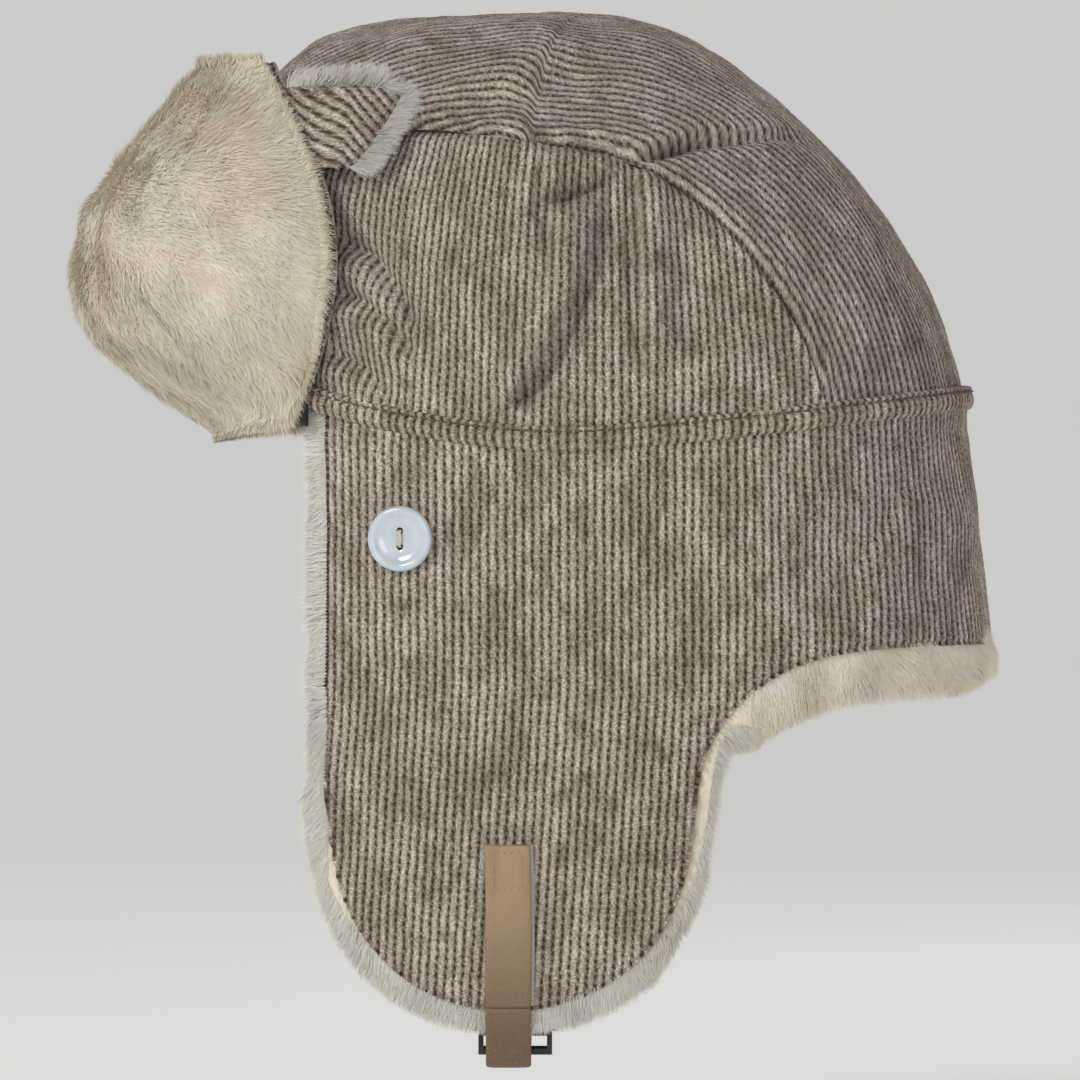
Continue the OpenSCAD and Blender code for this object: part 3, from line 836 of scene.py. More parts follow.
def panel_seam_path(count):
    """The seam between centre and side panel, evenly spaced: direction and elevation."""
    a = np.linspace(PANEL_FRONT, PANEL_BACK, 6000)
    e = panel_angle(a)
    run = lengths(crown_point(a, e)[None], 1)[0]
    even = np.linspace(0, run[-1], count)
    return np.interp(even, run, a), np.interp(even, run, e)


def on_sphere(a, e):
    return np.stack([np.cos(e) * np.cos(a), np.cos(e) * np.sin(a), np.sin(e)], -1)


def crown_center():
    rows, cols = 440, 281
    edge_a, edge_e = panel_seam_path(rows)
    low_front = seam_angle(np.radians(-90))
    low_back = seam_angle(np.radians(90))
    turn = np.linspace(low_front, np.pi - low_back, 4000)
    middle = np.stack([0 * turn, -np.cos(turn), np.sin(turn)], -1)
    direction = np.arctan2(middle[:, 1], 1e-9)
    run = lengths(crown_point(direction, np.arcsin(np.clip(middle[:, 2], 0, 1)))[None], 1)[0]
    turn = np.interp(np.linspace(0, run[-1], rows), run, turn)
    middle = np.stack([0 * turn, -np.cos(turn), np.sin(turn)], -1)
    edge = on_sphere(edge_a, edge_e)
    t = np.linspace(-1, 1, cols)[None, :, None]
    far = edge[:, None] * np.where(t < 0, np.array([-1, 1, 1]), 1.0)
    part = np.abs(t)
    angle = np.arccos(np.clip((middle[:, None] * far).sum(-1, keepdims=True), -1, 1))
    ray = np.sin((1 - part) * angle) * middle[:, None] + np.sin(part * angle) * far
    ray = unit(ray / np.maximum(np.sin(angle), 1e-6))
    a = np.arctan2(ray[..., 1], ray[..., 0])
    e = np.arcsin(np.clip(ray[..., 2], 0, 1))
    s = np.linspace(0, 1, rows)[:, None]
    near_band = np.maximum(1 - smooth(0, 0.05, s), smooth(0.93, 1, s))
    e = e + (seam_angle(np.where(np.cos(a) < 0, np.pi - a, a)) - e) * near_band * (np.abs(t[..., 0]) < 1)
    points = crown_point(a, e)
    across = lengths(points, 1)
    u = across - across[:, cols // 2:cols // 2 + 1]
    v = lengths(points, 0)
    normal = grid_normals(points)
    normal *= np.sign((normal * points).sum(-1, keepdims=True))
    edge_gap = np.minimum(across, across[:, -1:] - across)
    height = drape(points) * smooth(0, 7, edge_gap)
    height += 1.2 * ripple(points, 55, 31) + 0.4 * ripple(points, 17, 32)
    gather = np.sin(v * 0.55 + 2 * np.sin(v * 0.09)) * np.exp(-edge_gap / 10) * smooth(0, 4, edge_gap)
    height += 0.8 * gather
    height += -1.6 * np.exp(-(edge_gap / 1.5) ** 2) + 1.4 * np.exp(-((edge_gap - 5) / 4) ** 2)
    points = points + normal * (height + rib_height(u, v))[..., None]
    obj = surface("crown_center_cloth", points, np.stack([u, v], -1), flip=True)
    finish(obj, CORDUROY, "hat", ["crown_center_panel"])


def welt():
    a = np.linspace(-np.pi, np.pi, 960, endpoint=False)[None, :]
    rise = np.array([-1.4, -1.2, -0.7, 0.2, 1.2, 2.4, 3.6, 4.5, 5.0, 5.4, 5.9, 6.4, 6.8, 7.0])[:, None]
    out = np.array([-1.2, 0.6, 1.5, 2.1, 2.4, 2.5, 2.3, 1.9, 1.2, 1.2, 1.8, 1.7, 1.0, -1.0])[:, None]
    r = reach(a) + out
    y = r * np.sin(a)
    points = np.stack([r * np.cos(a), y, seam_z(reach(a) * np.sin(a)) + rise], -1)
    u = lengths(points[:1], 1) + 0 * rise
    v = rise + 0 * a
    normal = np.stack([np.cos(a), np.sin(a), 0 * a], -1)
    height = rib_height(u, v, 0.6) + 0.35 * ripple(points, 30, 41)
    points = points + normal * height[..., None]
    obj = surface("band_welt_cloth", points, np.stack([u, v], -1), ring=True)
    hem_rim(obj, 1)
    finish(obj, WELT, "hat", ["band_welt"])


def stitch_run(name, centres, directions, outward, long, radius):
    """A row of separate stitches: each dips into the cloth at both ends."""
    s = np.linspace(-1, 1, 7)
    path = centres[:, None] + directions[:, None] * (s * long / 2)[None, :, None]
    path = path - outward[:, None] * (radius * 1.6 * np.abs(s) ** 2.5)[None, :, None]
    sides = 6
    across = unit(np.cross(directions, outward))
    turn = np.linspace(0, 2 * np.pi, sides, endpoint=False)
    thin = radius * (1 - 0.55 * np.abs(s) ** 4)
    ring = (across[:, None, None] * np.cos(turn)[None, None, :, None]
            + outward[:, None, None] * np.sin(turn)[None, None, :, None]) * thin[None, :, None, None]
    points = path[:, :, None] + ring
    count = len(centres)
    base = grid_faces(7, sides, ring=True)
    faces = (base[None] + (np.arange(count) * 7 * sides)[:, None, None]).reshape(-1, 4)
    return build(name, points, faces)


def topstitch():
    a = np.linspace(-np.pi, np.pi, 4000)
    ground = np.stack([reach(a) * np.cos(a), reach(a) * np.sin(a), 0 * a], -1)
    run = lengths(ground[None], 1)[0]
    count = int(run[-1] / 3.4)
    at = np.interp((np.arange(count) + 0.5) * run[-1] / count, run, a)
    r = reach(at) + 1.75
    y = reach(at) * np.sin(at)
    centres = np.stack([r * np.cos(at), r * np.sin(at), seam_z(y) + 5.15], -1)
    directions = unit(np.roll(centres, -1, 0) - np.roll(centres, 1, 0))
    outward = np.stack([np.cos(at), np.sin(at), 0 * at], -1)
    obj = stitch_run("band_topstitch_thread", centres, directions, outward, 2.5, 0.36)
    finish(obj, BROWN, "hat", ["band_topstitch"])


def crown_lining():
    a = np.linspace(-np.pi, np.pi, 160, endpoint=False)[None, :]
    w = np.linspace(0, 1, 46)[:, None]
    side = np.where(np.cos(a) < 0, np.where(a > 0, np.pi - a, -np.pi - a), a)
    low = seam_angle(side)
    e = low + (np.radians(89.9) - low) * w
    outer = crown_point(side, e, 8.2) * np.stack([np.sign(np.cos(a)), 1 + 0 * a, 1 + 0 * a], -1)
    inner = crown_point(side, e, 9.6) * np.stack([np.sign(np.cos(a)), 1 + 0 * a, 1 + 0 * a], -1)
    inner = inner * (1 + 0.008 * ripple(inner, 16, 51)[..., None])
    obj = slab("crown_lining_pile", outer, inner, ring=True)
    finish(obj, LINING_SKIN, "hat", ["crown_lining"])
    rng = np.random.default_rng(52)
    spots = scatter(inner, 16000, rng, 1.02 - w + 0 * a)
    spots["normal"] = -unit(spots["place"])
    obj = strands("crown_lining_fur", spots, -spots["down"] + 0.3 * spots["across"], 7.0, rng, lift=0.55,
                  width=0.5, segments=3)
    finish(obj, WHITE_FUR, "hat")


# ---- Curtain and ear flaps ----

FOLD_BAND = 6


def fold_ends(side):
    """Points in metres just above and below the ear flap's fold line, marking the band where a piece would
    bend with the flap.
    """
    x = HALF_WIDTH * SIDES[side] * MM
    y = FLAP_Y * MM
    return (x, y, (FOLD_Z + FOLD_BAND) * MM), (x, y, (FOLD_Z - FOLD_BAND - 4) * MM)


CURTAIN_FOLDS = [([(-8, -6), (-22, -14), (-36, -28), (-44, -42)], 1.1, 0.8, 6),
                 ([(104, -14), (98, -28), (88, -44), (80, -56)], 0.9, 0.8, 9),
                 ([(70, -10), (62, -26), (60, -44)], 0.9, 0.7, 7),
                 ([(-66, -66), (-72, -92), (-64, -122), (-58, -150)], 0.9, 0.7, 7),
                 ([(-6, 0), (-4, -10), (-1, -22)], 0.9, 0.7, 5)]


def curtain_creases(points):
    return sum(fold(points[..., 1], points[..., 2], *crease) for crease in CURTAIN_FOLDS)


def cloth(side):
    """Curtain and ear flap: one length of corduroy, from the band seam to the flap's foot."""
    a = np.radians(np.linspace(-53.6, 90, 430))[None, :]
    w = np.linspace(0, 1, 210)[:, None]
    y_low = reach(a, BACK + 9.5) * np.sin(a)
    top = seam_z(reach(a) * np.sin(a)) - 0.6
    bottom = cloth_hem(y_low)
    z = top + (bottom - top) * w
    points = hanging_point(a, z)
    u = lengths(hanging_point(a, z * 0 - 30)[:1], 1) + 0 * w
    v = z
    u = u - 0.06 * np.minimum(v - FOLD_Z, 0)
    normal = -grid_normals(points)
    edge = edge_distance(points)
    height = curtain_creases(points) + 0.9 * ripple(points, 48, 61 + SIDES[side])
    height += 0.3 * ripple(points, 16, 63 + SIDES[side])
    height *= smooth(0, 8, top - z) * 0.7 + 0.3
    height -= 1.3 * np.exp(-(np.abs(points[..., 0]) / 1.4) ** 2)
    roll = 2.2
    height -= roll - np.sqrt(np.maximum(roll ** 2 - np.maximum(roll - edge, 0) ** 2, 0))
    points = points + normal * (height + rib_height(u, v) * smooth(0, 1.5, edge))[..., None]
    obj = surface(f"curtain_flap_cloth_{side}", points, np.stack([u, v], -1), side=side, flip=False)
    hem_rim(obj, 1.2)
    start, end = fold_ends(side)
    finish(obj, CORDUROY, None, [f"curtain_{side}", f"ear_flap_{side}"],
           ("hat", f"ear_flap_{side}", start, end))


def edge_distance(points):
    """Distance of each point from the front edge and the hem, up to a few mm."""
    border = np.concatenate([points[-1], points[:, 0]])
    flat = points.reshape(-1, 3)
    best = np.full(len(flat), 30.0)
    for i in range(0, len(border), 2):
        d = ((flat - border[i]) ** 2).sum(-1)
        best = np.minimum(best, d)
    return np.sqrt(best).reshape(points.shape[:2])


def lining_grids(a, rows=60):
    """Outer and inner face of the lining; below the cloth's hem it comes out to show."""
    w = np.linspace(0, 1, rows)[:, None]
    y_low = (reach(a, BACK + 9.5) - 4) * np.sin(a)
    top = seam_z(reach(a) * np.sin(a)) + 1.5
    z = top + (fur_hem(y_low) - top) * w
    shown = smooth(-8, 3, cloth_hem(y_low) - z)
    outer = hanging_point(a, z, 5.2 - 2.8 * shown)
    inner = hanging_point(a, z, 8.2)
    return outer, inner


def lining(side):
    """Faux-fur lining: a flap part that goes with the ear flap, and a nape part."""
    start, end = fold_ends(side)
    bend = ("hat", f"ear_flap_{side}", start, end)
    parts = [("flap", -58.2, 33, 23000, bend, [f"ear_flap_fur_{side}"]),
             ("nape", 32, 90, 9000, None, [f"curtain_fur_{side}"])]
    for part, low, high, count, blend, nodes in parts:
        a = np.radians(np.linspace(low, high, 70))[None, :]
        outer, inner = lining_grids(a)
        inner = inner - np.array([1, 0, 0]) * 0.8 * ripple(inner, 14, 71)[..., None]
        obj = slab(f"lining_{part}_pile_{side}", outer, inner, side, flip=False)
        finish(obj, FUR_SKIN, "hat", nodes, blend)
        rng = np.random.default_rng(72 + len(part) + SIDES[side])
        spots = scatter(inner, count, rng)
        spots["normal"] = -np.sign((grid_normals(inner) * inner).sum(-1).mean()) * spots["normal"]
        obj = strands(f"lining_{part}_fur_{side}", spots, spots["down"], 8.0, rng, lift=0.45, width=0.45,
                      segments=3, side=side, tufts=(6, 0.55, 2.5, 0.3))
        finish(obj, FUR, "hat", (), blend)
        lip(side, part, outer, inner, blend)


def lip(side, part, outer, inner, blend):
    """Hair that shows past the hem, rooted on the lining's rim and on the strip left bare."""
    rng = np.random.default_rng(83 + len(part) + SIDES[side])
    bare = 4 if part == "flap" else 11
    strips = [np.concatenate([outer[-bare:], (outer[-1:] + inner[-1:]) / 2, inner[-1:]])]
    if part == "flap":
        front = [outer[:, k] for k in (3, 2, 1, 0)] + [(outer[:, 0] + inner[:, 0]) / 2, inner[:, 0]]
        strips.append(np.stack(front))
    counts = (15000, 9000) if part == "flap" else (19000,)
    groups = [scatter(strip, count, rng) for strip, count in zip(strips, counts)]
    place = np.concatenate([group["place"] for group in groups])
    edge_on = np.concatenate([group["row"] for group in groups])[:, None]
    centre = np.array([0, FLAP_Y if part == "flap" else 60.0, FOLD_Z + 10])
    away = (place - centre) * np.array([0, 1 if part == "flap" else 0.12, 1])
    away[:, 2] = np.minimum(away[:, 2], 0) - 4
    away = unit(away)
    strap_near = np.exp(-((place[:, 1:2] - STRAP_Y) / 9) ** 2) * (part == "flap")
    place = place - np.array([2.5, 0, 0]) * strap_near
    spots = {"place": place, "normal": unit(np.array([1.0, 0, 0]) + away * (0.2 + 0.5 * edge_on))}
    drop = np.array([0, 0, -0.35])
    obj = strands(f"lip_{part}_fur_{side}", spots, away + drop, 6.0, rng, lift=0.3, width=0.24, segments=3,
                  side=side, tufts=(6, 0.2, 2.5, 0.35), loose=0.2, spread=0.35)
    finish(obj, WHITE_FUR if part == "flap" else LIP_FUR, "hat", (), blend)


# ---- Visor ----

VISOR_BEND = ("hat", "visor", (0, -FRONT * MM, -0.004), (0, -FRONT * MM, 0.03))


def visor():
    u = np.linspace(1, -1, 210)[None, :]
    v = np.linspace(0, 1, 120)[:, None]
    back = visor_point(u, v, visor_gap(v) + 0.2)
    across = lengths(back, 1) - 80
    up = lengths(back, 0)
    normal = unit(grid_normals(back))
    normal *= -np.sign((normal * back * np.array([1, 1, 0])).sum(-1, keepdims=True))
    back = back + normal * (0.6 + 0.5 * rib_height(across, up))[..., None]
    obj = surface("visor_cloth", back, np.stack([across, up], -1), flip=True)
    hem_rim(obj, -1.5)
    finish(obj, CORDUROY, None, ["visor_shell"], VISOR_BEND)
    visor_pile()


def visor_pile():
    """The fur face: a plump body and its hair."""
    u = np.linspace(1, -1, 110)[None, :]
    v = np.linspace(0, 1, 80)[:, None]
    root = visor_gap(v, FABRIC + 2.2)
    round_off = (1 - np.abs(u) ** 7) ** 0.5 * (1 - np.abs(2 * v - 1) ** 8) ** 0.5
    thick = (2 + 0.9 * puff(u, v)) * round_off
    outer = visor_point(u, v, root + np.maximum(thick - 1.2, 0.2))
    lumps = 1.5 * ripple(outer, 26, 91) + 0.8 * ripple(outer, 11, 92)
    outward = unit(outer * np.array([1, 1, 0]))
    crease, _ = from_line(outer[..., 1], outer[..., 2], [(-134, 76), (-124, 40), (-117, 8)])
    side = smooth(10, 40, np.abs(outer[..., 0]))
    lumps = lumps - 3.0 * side * np.exp(-(crease / 5) ** 2)
    outer = outer + outward * (lumps * round_off)[..., None]
    inner = visor_point(u, v, root + 0 * u)
    obj = slab("visor_pile", outer, inner, flip=True)
    finish(obj, FUR_SKIN, None, ["visor_fur"], VISOR_BEND)
    rng = np.random.default_rng(93)
    spots = scatter(outer, 90000, rng)
    faces_out = np.sign((spots["normal"] * spots["place"]).sum(-1, keepdims=True))
    spots["normal"] = unit(spots["normal"] * faces_out)
    outwards = spots["across"] * (2 * spots["col"] - 1)[:, None]
    height = spots["row"][:, None]
    flow = -spots["down"] * (1.15 - 1.6 * height) + outwards * (0.5 + 0.6 * height)
    long = foot_length(2 * spots["col"] - 1, spots["row"], 5.5)
    obj = strands("visor_hair", spots, flow, long, rng, lift=0.5, width=0.24, tufts=(9, 0.2, 3.5, 0.25),
                  segments=3, loose=0.22)
    finish(obj, FUR, None, (), VISOR_BEND)
    edge = visor_edge_spots(rng)
    obj = strands("visor_edge_hair", edge, edge["flow"], edge["long"], rng, lift=0.4, width=0.24, segments=3,
                  tufts=(6, 0.25, 2.5, 0.3), loose=0.25, spread=0.35)
    finish(obj, FUR, None, (), VISOR_BEND)


def foot_length(u, v, length):
    """Hair is short along the visor's foot at the front, and long at the temples."""
    foot = 1 - smooth(0, 0.16, v)
    return length * (1 - 0.7 * foot * (1 - u * u)) + 3.5 * foot * u ** 4


def visor_edge_spots(rng):
    """Roots round the visor's rim, with the hair laid outwards over the edge."""
    count = 17000
    t = rng.uniform(0, 4, count)
    k = t % 1
    u = np.select([t < 1, t < 2, t < 3], [1 + 0 * k, 1 - 2 * k, -1 + 0 * k], -1 + 2 * k)
    v = np.select([t < 1, t < 2, t < 3], [k, 1 + 0 * k, 1 - k], 0 * k)
    depth = rng.uniform(0, 1, count) * (0.6 + 2.4 * np.sin(np.pi * v))
    root = visor_gap(v, FABRIC + 1.2)
    place = visor_point(u * 0.985, v, root + depth)
    inside = visor_point(u * 0.8, 0.5 + (v - 0.5) * 0.8, root + depth)
    out = unit(place - inside)
    face = unit(place * np.array([1, 1, 0]))
    side = (0.3 * (t % 2 < 1))[:, None]
    return {"place": place, "normal": unit(out * 0.4 + face), "flow": out * 0.8 + face * side,
            "long": foot_length(u, v, 5.0)}


def visor_corner(side):
    """Top corner of the visor, turned back so that its corduroy shows, with fur along its edges."""
    low, high = box_mm("visor_corner_left")
    k = np.linspace(0, 1, 60)[:, None]
    j = np.linspace(0, 1, 90)[None, :]
    z = low[2] + (high[2] - low[2]) * k + 0 * j
    front = low[1] + 10 * (1 - k)
    back = low[1] + 16 + (high[1] - low[1] - 16) * k ** 0.8
    back = back - 5 * smooth(0.82, 1, k) ** 2
    y = front + (back - front) * j
    x = 63.5 + 8 * (1 - k) - 0.12 * (y - high[1] - 20) + 3.4
    x = x - 2.4 * np.exp(-((1 - j) * (back - front) / 2.2) ** 2) - 2.0 * np.exp(-((1 - k) * 27 / 2.2) ** 2)
    points = np.stack([x, y, z], -1)
    share_up = (z - 6.4) / (VISOR_HEIGHT - 9)
    sewn = visor_point(1.0, share_up, visor_gap(share_up) + FABRIC)
    near_visor = 1 - smooth(0, 0.5, j)[..., None]
    points = points + (sewn - points) * near_visor * np.array([1, 1, 0])
    turn = np.radians(-40)
    u = (y * np.cos(turn) - z * np.sin(turn))
    v = (y * np.sin(turn) + z * np.cos(turn))
    points[..., 0] += rib_height(u, v) + 0.8 * ripple(points, 22, 101)
    obj = surface(f"visor_corner_cloth_{side}", points, np.stack([u, v], -1), side=side)
    hem_rim(obj, 2.6)
    finish(obj, CORDUROY, "visor", [f"visor_corner_{side}"])
    rng = np.random.default_rng(103 + SIDES[side])
    rim = np.concatenate([points[-1, 12:], points[::-1, -1]])
    grid = np.stack([rim - np.array([0.5 + 2.2 * s, 0, 0]) for s in (0, 0.5, 1)])
    spots = scatter(grid, 5000, rng)
    away = unit(np.array([0, 0.55, 1.0]) * np.ones((5000, 3)))
    lower = spots["col"][:, None] > 0.5
    away = np.where(lower, unit(np.array([0, 1.0, -0.15])), away)
    spots["normal"] = unit(0.4 * away + np.array([1.0, 0, 0]))
    obj = strands(f"visor_corner_fringe_{side}", spots, away, 8.0, rng, lift=0.7, width=0.22, side=side,
                  tufts=(5, 0.35, 2, 0.3), loose=0.4, spread=0.5)
    finish(obj, WHITE_FUR, "visor")


# ---- Trim ----


def seam_tape(side):
    low, high = box_mm("seam_tape_left")
    a = np.radians(-57)
    j, k = np.meshgrid(np.linspace(-1, 1, 15), np.linspace(0, 1, 15))
    middle = (low + high) / 2
    across = np.array([-np.sin(a), np.cos(a), 0])
    out = np.array([np.cos(a), np.sin(a), 0])
    flat = middle + across * (j * 3.5)[..., None]
    flat[..., 2] = low[2] + (high[2] - low[2]) * k
    bulge = 0.5 * (1 - j ** 2) * (1 - (2 * k - 1) ** 4)
    outer = flat + out * (0.35 + bulge)[..., None]
    inner = flat - out * 0.5
    obj = slab(f"temple_tape_{side}", outer, inner, side)
    finish(obj, TAPE, "hat", [f"seam_tape_{side}"])


def button_frame(side):
    """Centre of the button's back and its outward direction, from its CAD box."""
    low, high = box_mm(f"button_{side}")
    centre = (low + high) / 2
    tilt = (high[0] - low[0] - 3.6) / 21.7
    out = unit(np.array([SIDES[side], -tilt * 1.02, 0]))
    return centre, out


def disc_points(centre, out, r, depth, turn):
    up = np.array([0, 0, 1.0])
    across = np.cross(up, out)
    ring = across * np.cos(turn)[..., None] + up * np.sin(turn)[..., None]
    return centre + ring * r[..., None] + out * depth[..., None]


def button(side):
    centre, out = button_frame(side)
    profile = np.array([[0.01, -1.8], [8.6, -1.8], [9.9, -1.45], [10.6, -0.7], [10.85, 0.2], [10.7, 1.0],
                        [10.2, 1.6], [9.5, 1.85], [8.7, 1.75], [8.0, 1.3], [7.2, 0.85], [5.5, 0.55],
                        [3.0, 0.42], [0.01, 0.4]])
    turn = np.linspace(0, 2 * np.pi, 72, endpoint=False)[None, :]
    r = profile[:, :1] + 0 * turn
    depth = profile[:, 1:] + 0 * turn
    points = disc_points(centre, out, r, depth, turn + 0 * r)
    obj = surface(f"button_disc_{side}", points, ring=True, flip=True)
    rework(obj.data, merge_points(0.05), face_out)
    for s in (-1, 1):
        place = centre + np.array([0, 0, s * 2.6])
        path = place + out * np.array([-4.0, 4.0])[:, None]
        drill = tube("drill", path, 1.15, 24)
        cut = obj.modifiers.new("Hole", "BOOLEAN")
        cut.object = drill
        cut.operation = "DIFFERENCE"
        apply(obj)
        bpy.data.objects.remove(drill)
    smooth_part = obj.modifiers.new("Edges", "BEVEL")
    smooth_part.width = 0.12 * MM
    smooth_part.segments = 2
    smooth_part.angle_limit = np.radians(50)
    apply(obj)
    finish(obj, BUTTON, "hat", [f"button_{side}"])
    button_thread(side, centre, out)


def button_thread(side, centre, out):
    s = np.linspace(-1, 1, 25)
    made = []
    for i, shift in enumerate((-0.55, 0.0, 0.5)):
        rise = 1.15 - 3.6 * np.maximum(np.abs(s) - 0.78, 0) / 0.22 * 0.9
        z = np.clip(s / 0.82, -1, 1) * 2.6
        across = np.cross(np.array([0, 0, 1.0]), out)
        path = centre + out * rise[:, None] + np.array([0, 0, 1.0]) * z[:, None]
        path = path + across * (shift * (1 - 0.5 * np.abs(s)) + 0.12 * np.sin(5 * s + i))[:, None]
        made.append(tube(f"strand_{i}", path, 0.38, 10))
    shank = centre + out * np.linspace(-2.9, -1.6, 5)[:, None]
    made.append(tube("shank", shank, 1.5, 16))
    obj = join(f"button_stitch_{side}", made)
    shade_smooth(obj.data)
    finish(obj, IVORY, "hat", [f"button_thread_{side}"])


# ---- Strap and buckle ----

strap_low, strap_high = box_mm("strap_left")
STRAP_Y = (strap_low[1] + strap_high[1]) / 2
STRAP_W = strap_high[1] - strap_low[1]
STRAP_TOP = strap_high[2]
STRAP_FOOT = strap_low[2]
LEATHER_T = 2.0
BACKING_T = 0.8
loop_low, loop_high = box_mm("strap_loop_left")
LOOP_R = 6.1
BAR_Z = loop_low[2] + LOOP_R
BAR_X = loop_low[0] + LOOP_R


def strap_x(z):
    """Inner face of the strap where it lies on the flap."""
    return strap_top_x() - FLAP_LEAN * flap_depth(z) ** 2


def strap_top_x():
    side = HALF_WIDTH * (1 - (abs(STRAP_Y) / FRONT) ** PLAN_POWER) ** (1 / PLAN_POWER)
    return HALF_WIDTH - (HALF_WIDTH - side) * 0.55 + 0.45


def strip(name, path, outward, width, thick, side):
    """Flat strap along a path in X and Z, with soft edges; outward points away from the head."""
    turn = np.linspace(0, 2 * np.pi, 28, endpoint=False)
    across = np.sign(np.cos(turn)) * np.abs(np.cos(turn)) ** 0.35 * width / 2
    deep = np.sign(np.sin(turn)) * np.abs(np.sin(turn)) ** 0.6 * thick / 2
    points = path[:, None] + np.array([0, 1.0, 0]) * across[None, :, None]
    points = points + outward[:, None] * deep[None, :, None]
    obj = surface(name, points, ring=True, flip=True, side=side)
    rework(obj.data, fill_holes, face_out)
    return obj


def strap(side):
    z = np.linspace(STRAP_TOP, STRAP_FOOT, 60)
    lift = 0.3 * np.sin(np.linspace(0, 9, 60)) ** 2
    x = strap_x(z) + BACKING_T + LEATHER_T / 2 + lift
    path = np.stack([x, STRAP_Y + 0.5 * np.sin(np.linspace(0, 2.6, 60)), z], -1)
    outward = unit(np.stack([np.ones(60), np.zeros(60), np.gradient(x) / -np.gradient(z)], -1))
    obj = strip(f"strap_leather_{side}", path, outward, STRAP_W, LEATHER_T, side)
    finish(obj, LEATHER, f"ear_flap_{side}", [f"strap_{side}"])
    under = path - outward * (LEATHER_T / 2 + BACKING_T / 2)
    under = under + np.array([0, 0.55, 0])
    obj = strip(f"strap_lining_{side}", under, outward, STRAP_W + 1, BACKING_T, side)
    finish(obj, BACKING, f"ear_flap_{side}", [f"strap_backing_{side}"])
    box_stitch(side, path, outward)


def box_stitch(side, path, outward):
    """A box of stitches that holds the strap's upper end."""
    half, top, long = 4.6, STRAP_TOP - 2.4, 12.0
    corners = np.array([[-half, top], [half, top], [half, top - long], [-half, top - long], [-half, top]])
    centres, directions, outs = [], [], []
    for (y0, z0), (y1, z1) in zip(corners[:-1], corners[1:]):
        size = np.hypot(y1 - y0, z1 - z0)
        count = int(round(size / 2.35))
        for i in range(count):
            t = (i + 0.5) / count
            z = z0 + (z1 - z0) * t
            x = np.interp(-z, -path[:, 2], path[:, 0]) + LEATHER_T / 2 + 0.1
            centres.append([x, STRAP_Y + y0 + (y1 - y0) * t, z])
            directions.append([0, (y1 - y0) / size, (z1 - z0) / size])
            outs.append([1, 0, 0])
    points = [mirror(np.array(k, float), side) for k in (centres, directions, outs)]
    obj = stitch_run(f"strap_stitches_{side}", *points, 1.9, 0.34)
    rework(obj.data, fill_holes, face_out)
    finish(obj, TAN, f"ear_flap_{side}", [f"strap_stitching_{side}"])


def strap_tail(side):
    """The strap's free end, wrapped round the buckle's bar and stitched to itself."""
    top = np.array([strap_x(np.array(STRAP_FOOT)) + BACKING_T + LEATHER_T / 2, STRAP_FOOT - 0.1])
    bar = np.array([BAR_X, BAR_Z])
    r = LOOP_R - LEATHER_T / 2 - 0.4
    d = top - bar
    touch = np.arctan2(d[1], d[0]) - np.arccos(r / np.hypot(*d))
    start = bar + r * np.array([np.cos(touch), np.sin(touch)])
    straight = top + (start - top) * np.linspace(0, 1, 12)[:, None]
    turn = touch - np.linspace(0, np.radians(285), 44)[1:]
    spin = bar + r * np.stack([np.cos(turn), np.sin(turn)], -1)
    flat = np.concatenate([straight, spin])
    path = np.stack([flat[:, 0], np.full(len(flat), STRAP_Y + 0.4), flat[:, 1]], -1)
    along = unit(np.gradient(path, axis=0))
    outward = np.stack([-along[:, 2], 0 * along[:, 0], along[:, 0]], -1)
    obj = strip(f"strap_tail_leather_{side}", path, outward, STRAP_W, LEATHER_T + 0.3, side)
    finish(obj, LEATHER, f"strap_tail_{side}", [f"strap_loop_{side}"])


def buckle(node):
    """A buckle half from its CAD shape, with moulded edges."""
    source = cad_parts[node]
    mesh = source.data.copy()
    obj = link(bpy.data.objects.new(f"{node}_moulding", mesh))
    obj.matrix_world = source.matrix_world
    obj.data.materials.clear()
    rework(mesh, merge_points(0.02), merge_flat_faces)
    shade_smooth(mesh)
    soften(obj, 0.45)
    finish(obj, PLASTIC, node, [node])


def interlining():
    """Stiff felt inside the visor, a little smaller than the fur face."""
    u = np.linspace(0.93, -0.93, 40)[None, :]
    v = np.linspace(0.04, 0.93, 30)[:, None]
    root = visor_gap(v) + FABRIC * 0.6
    outer = visor_point(u, v, root + 1.2)
    inner = visor_point(u, v, root)
    obj = slab("visor_felt", outer, inner, flip=True)
    finish(obj, FELT, None, ["visor_interlining"], VISOR_BEND)


# ---- Picture ----


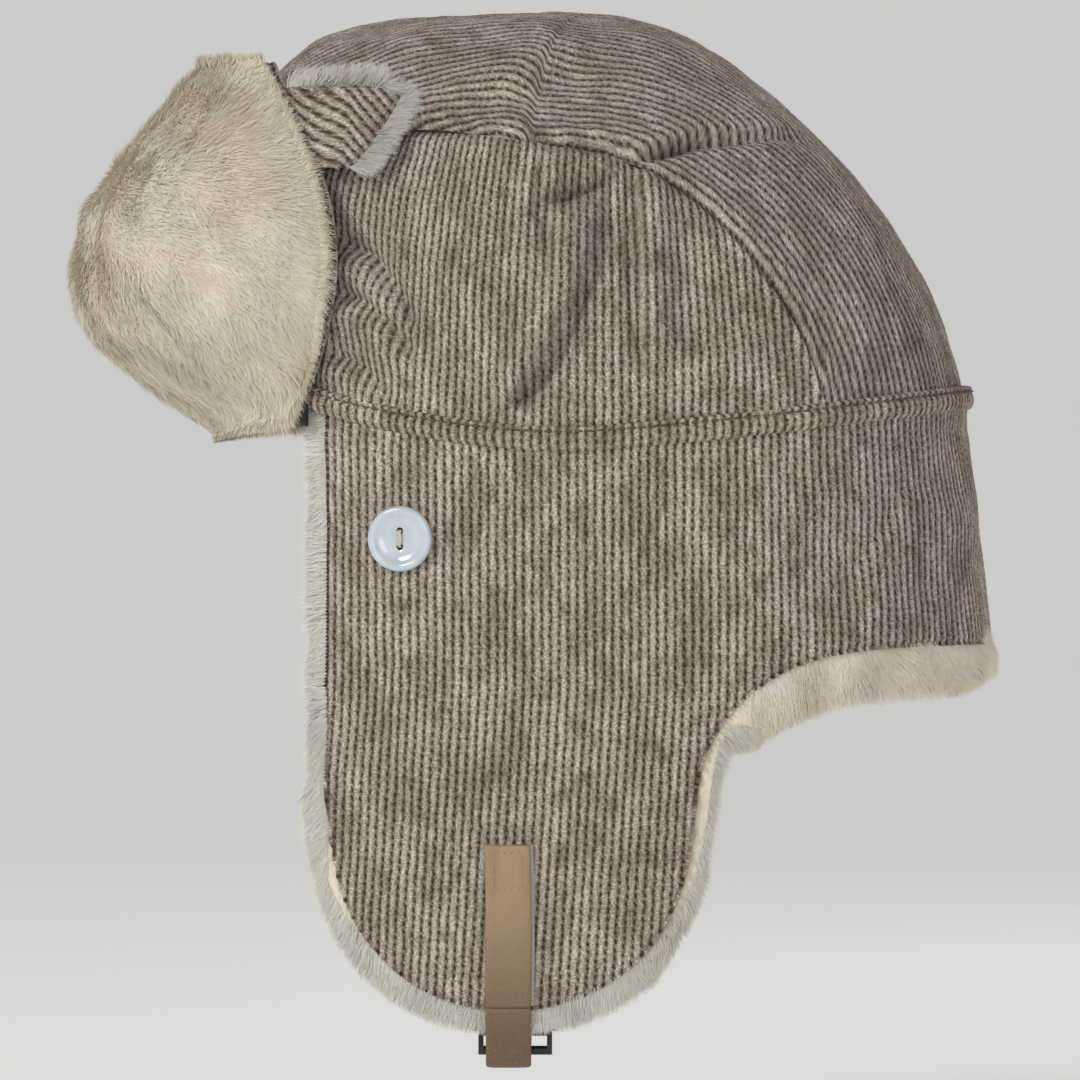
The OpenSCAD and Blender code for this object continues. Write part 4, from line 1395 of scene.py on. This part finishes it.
def studio():
    """Pale floor that curves up slowly, far away, into a low backdrop."""
    floor = -0.245
    edge = 14
    reach_out = np.concatenate([[0.0001], np.linspace(0.3, edge, 70)])
    height = floor + 3 * (reach_out / edge) ** 6
    around = np.linspace(0, 2 * np.pi, 96, endpoint=False)
    points = np.stack([reach_out[:, None] * np.cos(around), reach_out[:, None] * np.sin(around),
                       height[:, None] + 0 * around], -1)
    sweep = build("sweep", points / MM, grid_faces(*points.shape[:2], ring=True))
    g = Graph("paper")
    paper = g.mix(g.noise(g.place(), 3.0, 2.0), tone(208, 208, 206), tone(212, 212, 211))
    sweep.data.materials.append(g.set(Base_Color=paper, Roughness=0.9, Specular_IOR_Level=0.1,
                                      Emission_Color=tone(255, 255, 253), Emission_Strength=0.43))


def lamp(name, place, target, size, power):
    light = bpy.data.lights.new(name, "AREA")
    light.shape = "DISK"
    light.size = size
    light.energy = power
    obj = link(bpy.data.objects.new(name, light))
    aim(obj, place, target)


def aim(obj, place, target):
    from_to = np.array(target) - np.array(place)
    obj.location = place
    z = -unit(from_to)
    x = unit(np.cross([0, 0, 1.0], z))
    y = np.cross(z, x)
    turn = Matrix(np.stack([x, y, z], 1).tolist())
    obj.rotation_euler = turn.to_euler()


def picture():
    target = (0.0, -0.019, -0.0367)
    camera = bpy.data.cameras.new("camera")
    camera.type = "PERSP"
    camera.sensor_width = 36
    distance = 3.2
    near = HALF_WIDTH * MM * 0.45
    seen_width = 0.36
    camera.lens = camera.sensor_width * distance / seen_width
    obj = link(bpy.data.objects.new("camera", camera))
    aim(obj, (distance + near, target[1], target[2]), target)
    scene = bpy.context.scene
    scene.camera = obj
    scene.view_settings.view_transform = "Standard"
    scene.view_settings.look = "None"
    world = bpy.data.worlds.new("studio_light")
    world.use_nodes = True
    world.node_tree.nodes["Background"].inputs[0].default_value = (1, 1, 1, 1)
    world.node_tree.nodes["Background"].inputs[1].default_value = 0.22
    scene.world = world
    lamp("key", (1.6, -1.2, 1.0), target, 0.7, 18)
    lamp("fill", (2.4, -0.1, 0.4), target, 1.0, 9)
    lamp("rim", (-1.6, 1.0, 1.0), target, 1.0, 6)


crown_center()
for side in SIDES:
    crown_side(side)
    cloth(side)
    lining(side)
    visor_corner(side)
    seam_tape(side)
    button(side)
    strap(side)
    strap_tail(side)
welt()
topstitch()
crown_lining()
visor()
interlining()
buckle("buckle_plug")
buckle("buckle_socket")
studio()
picture()
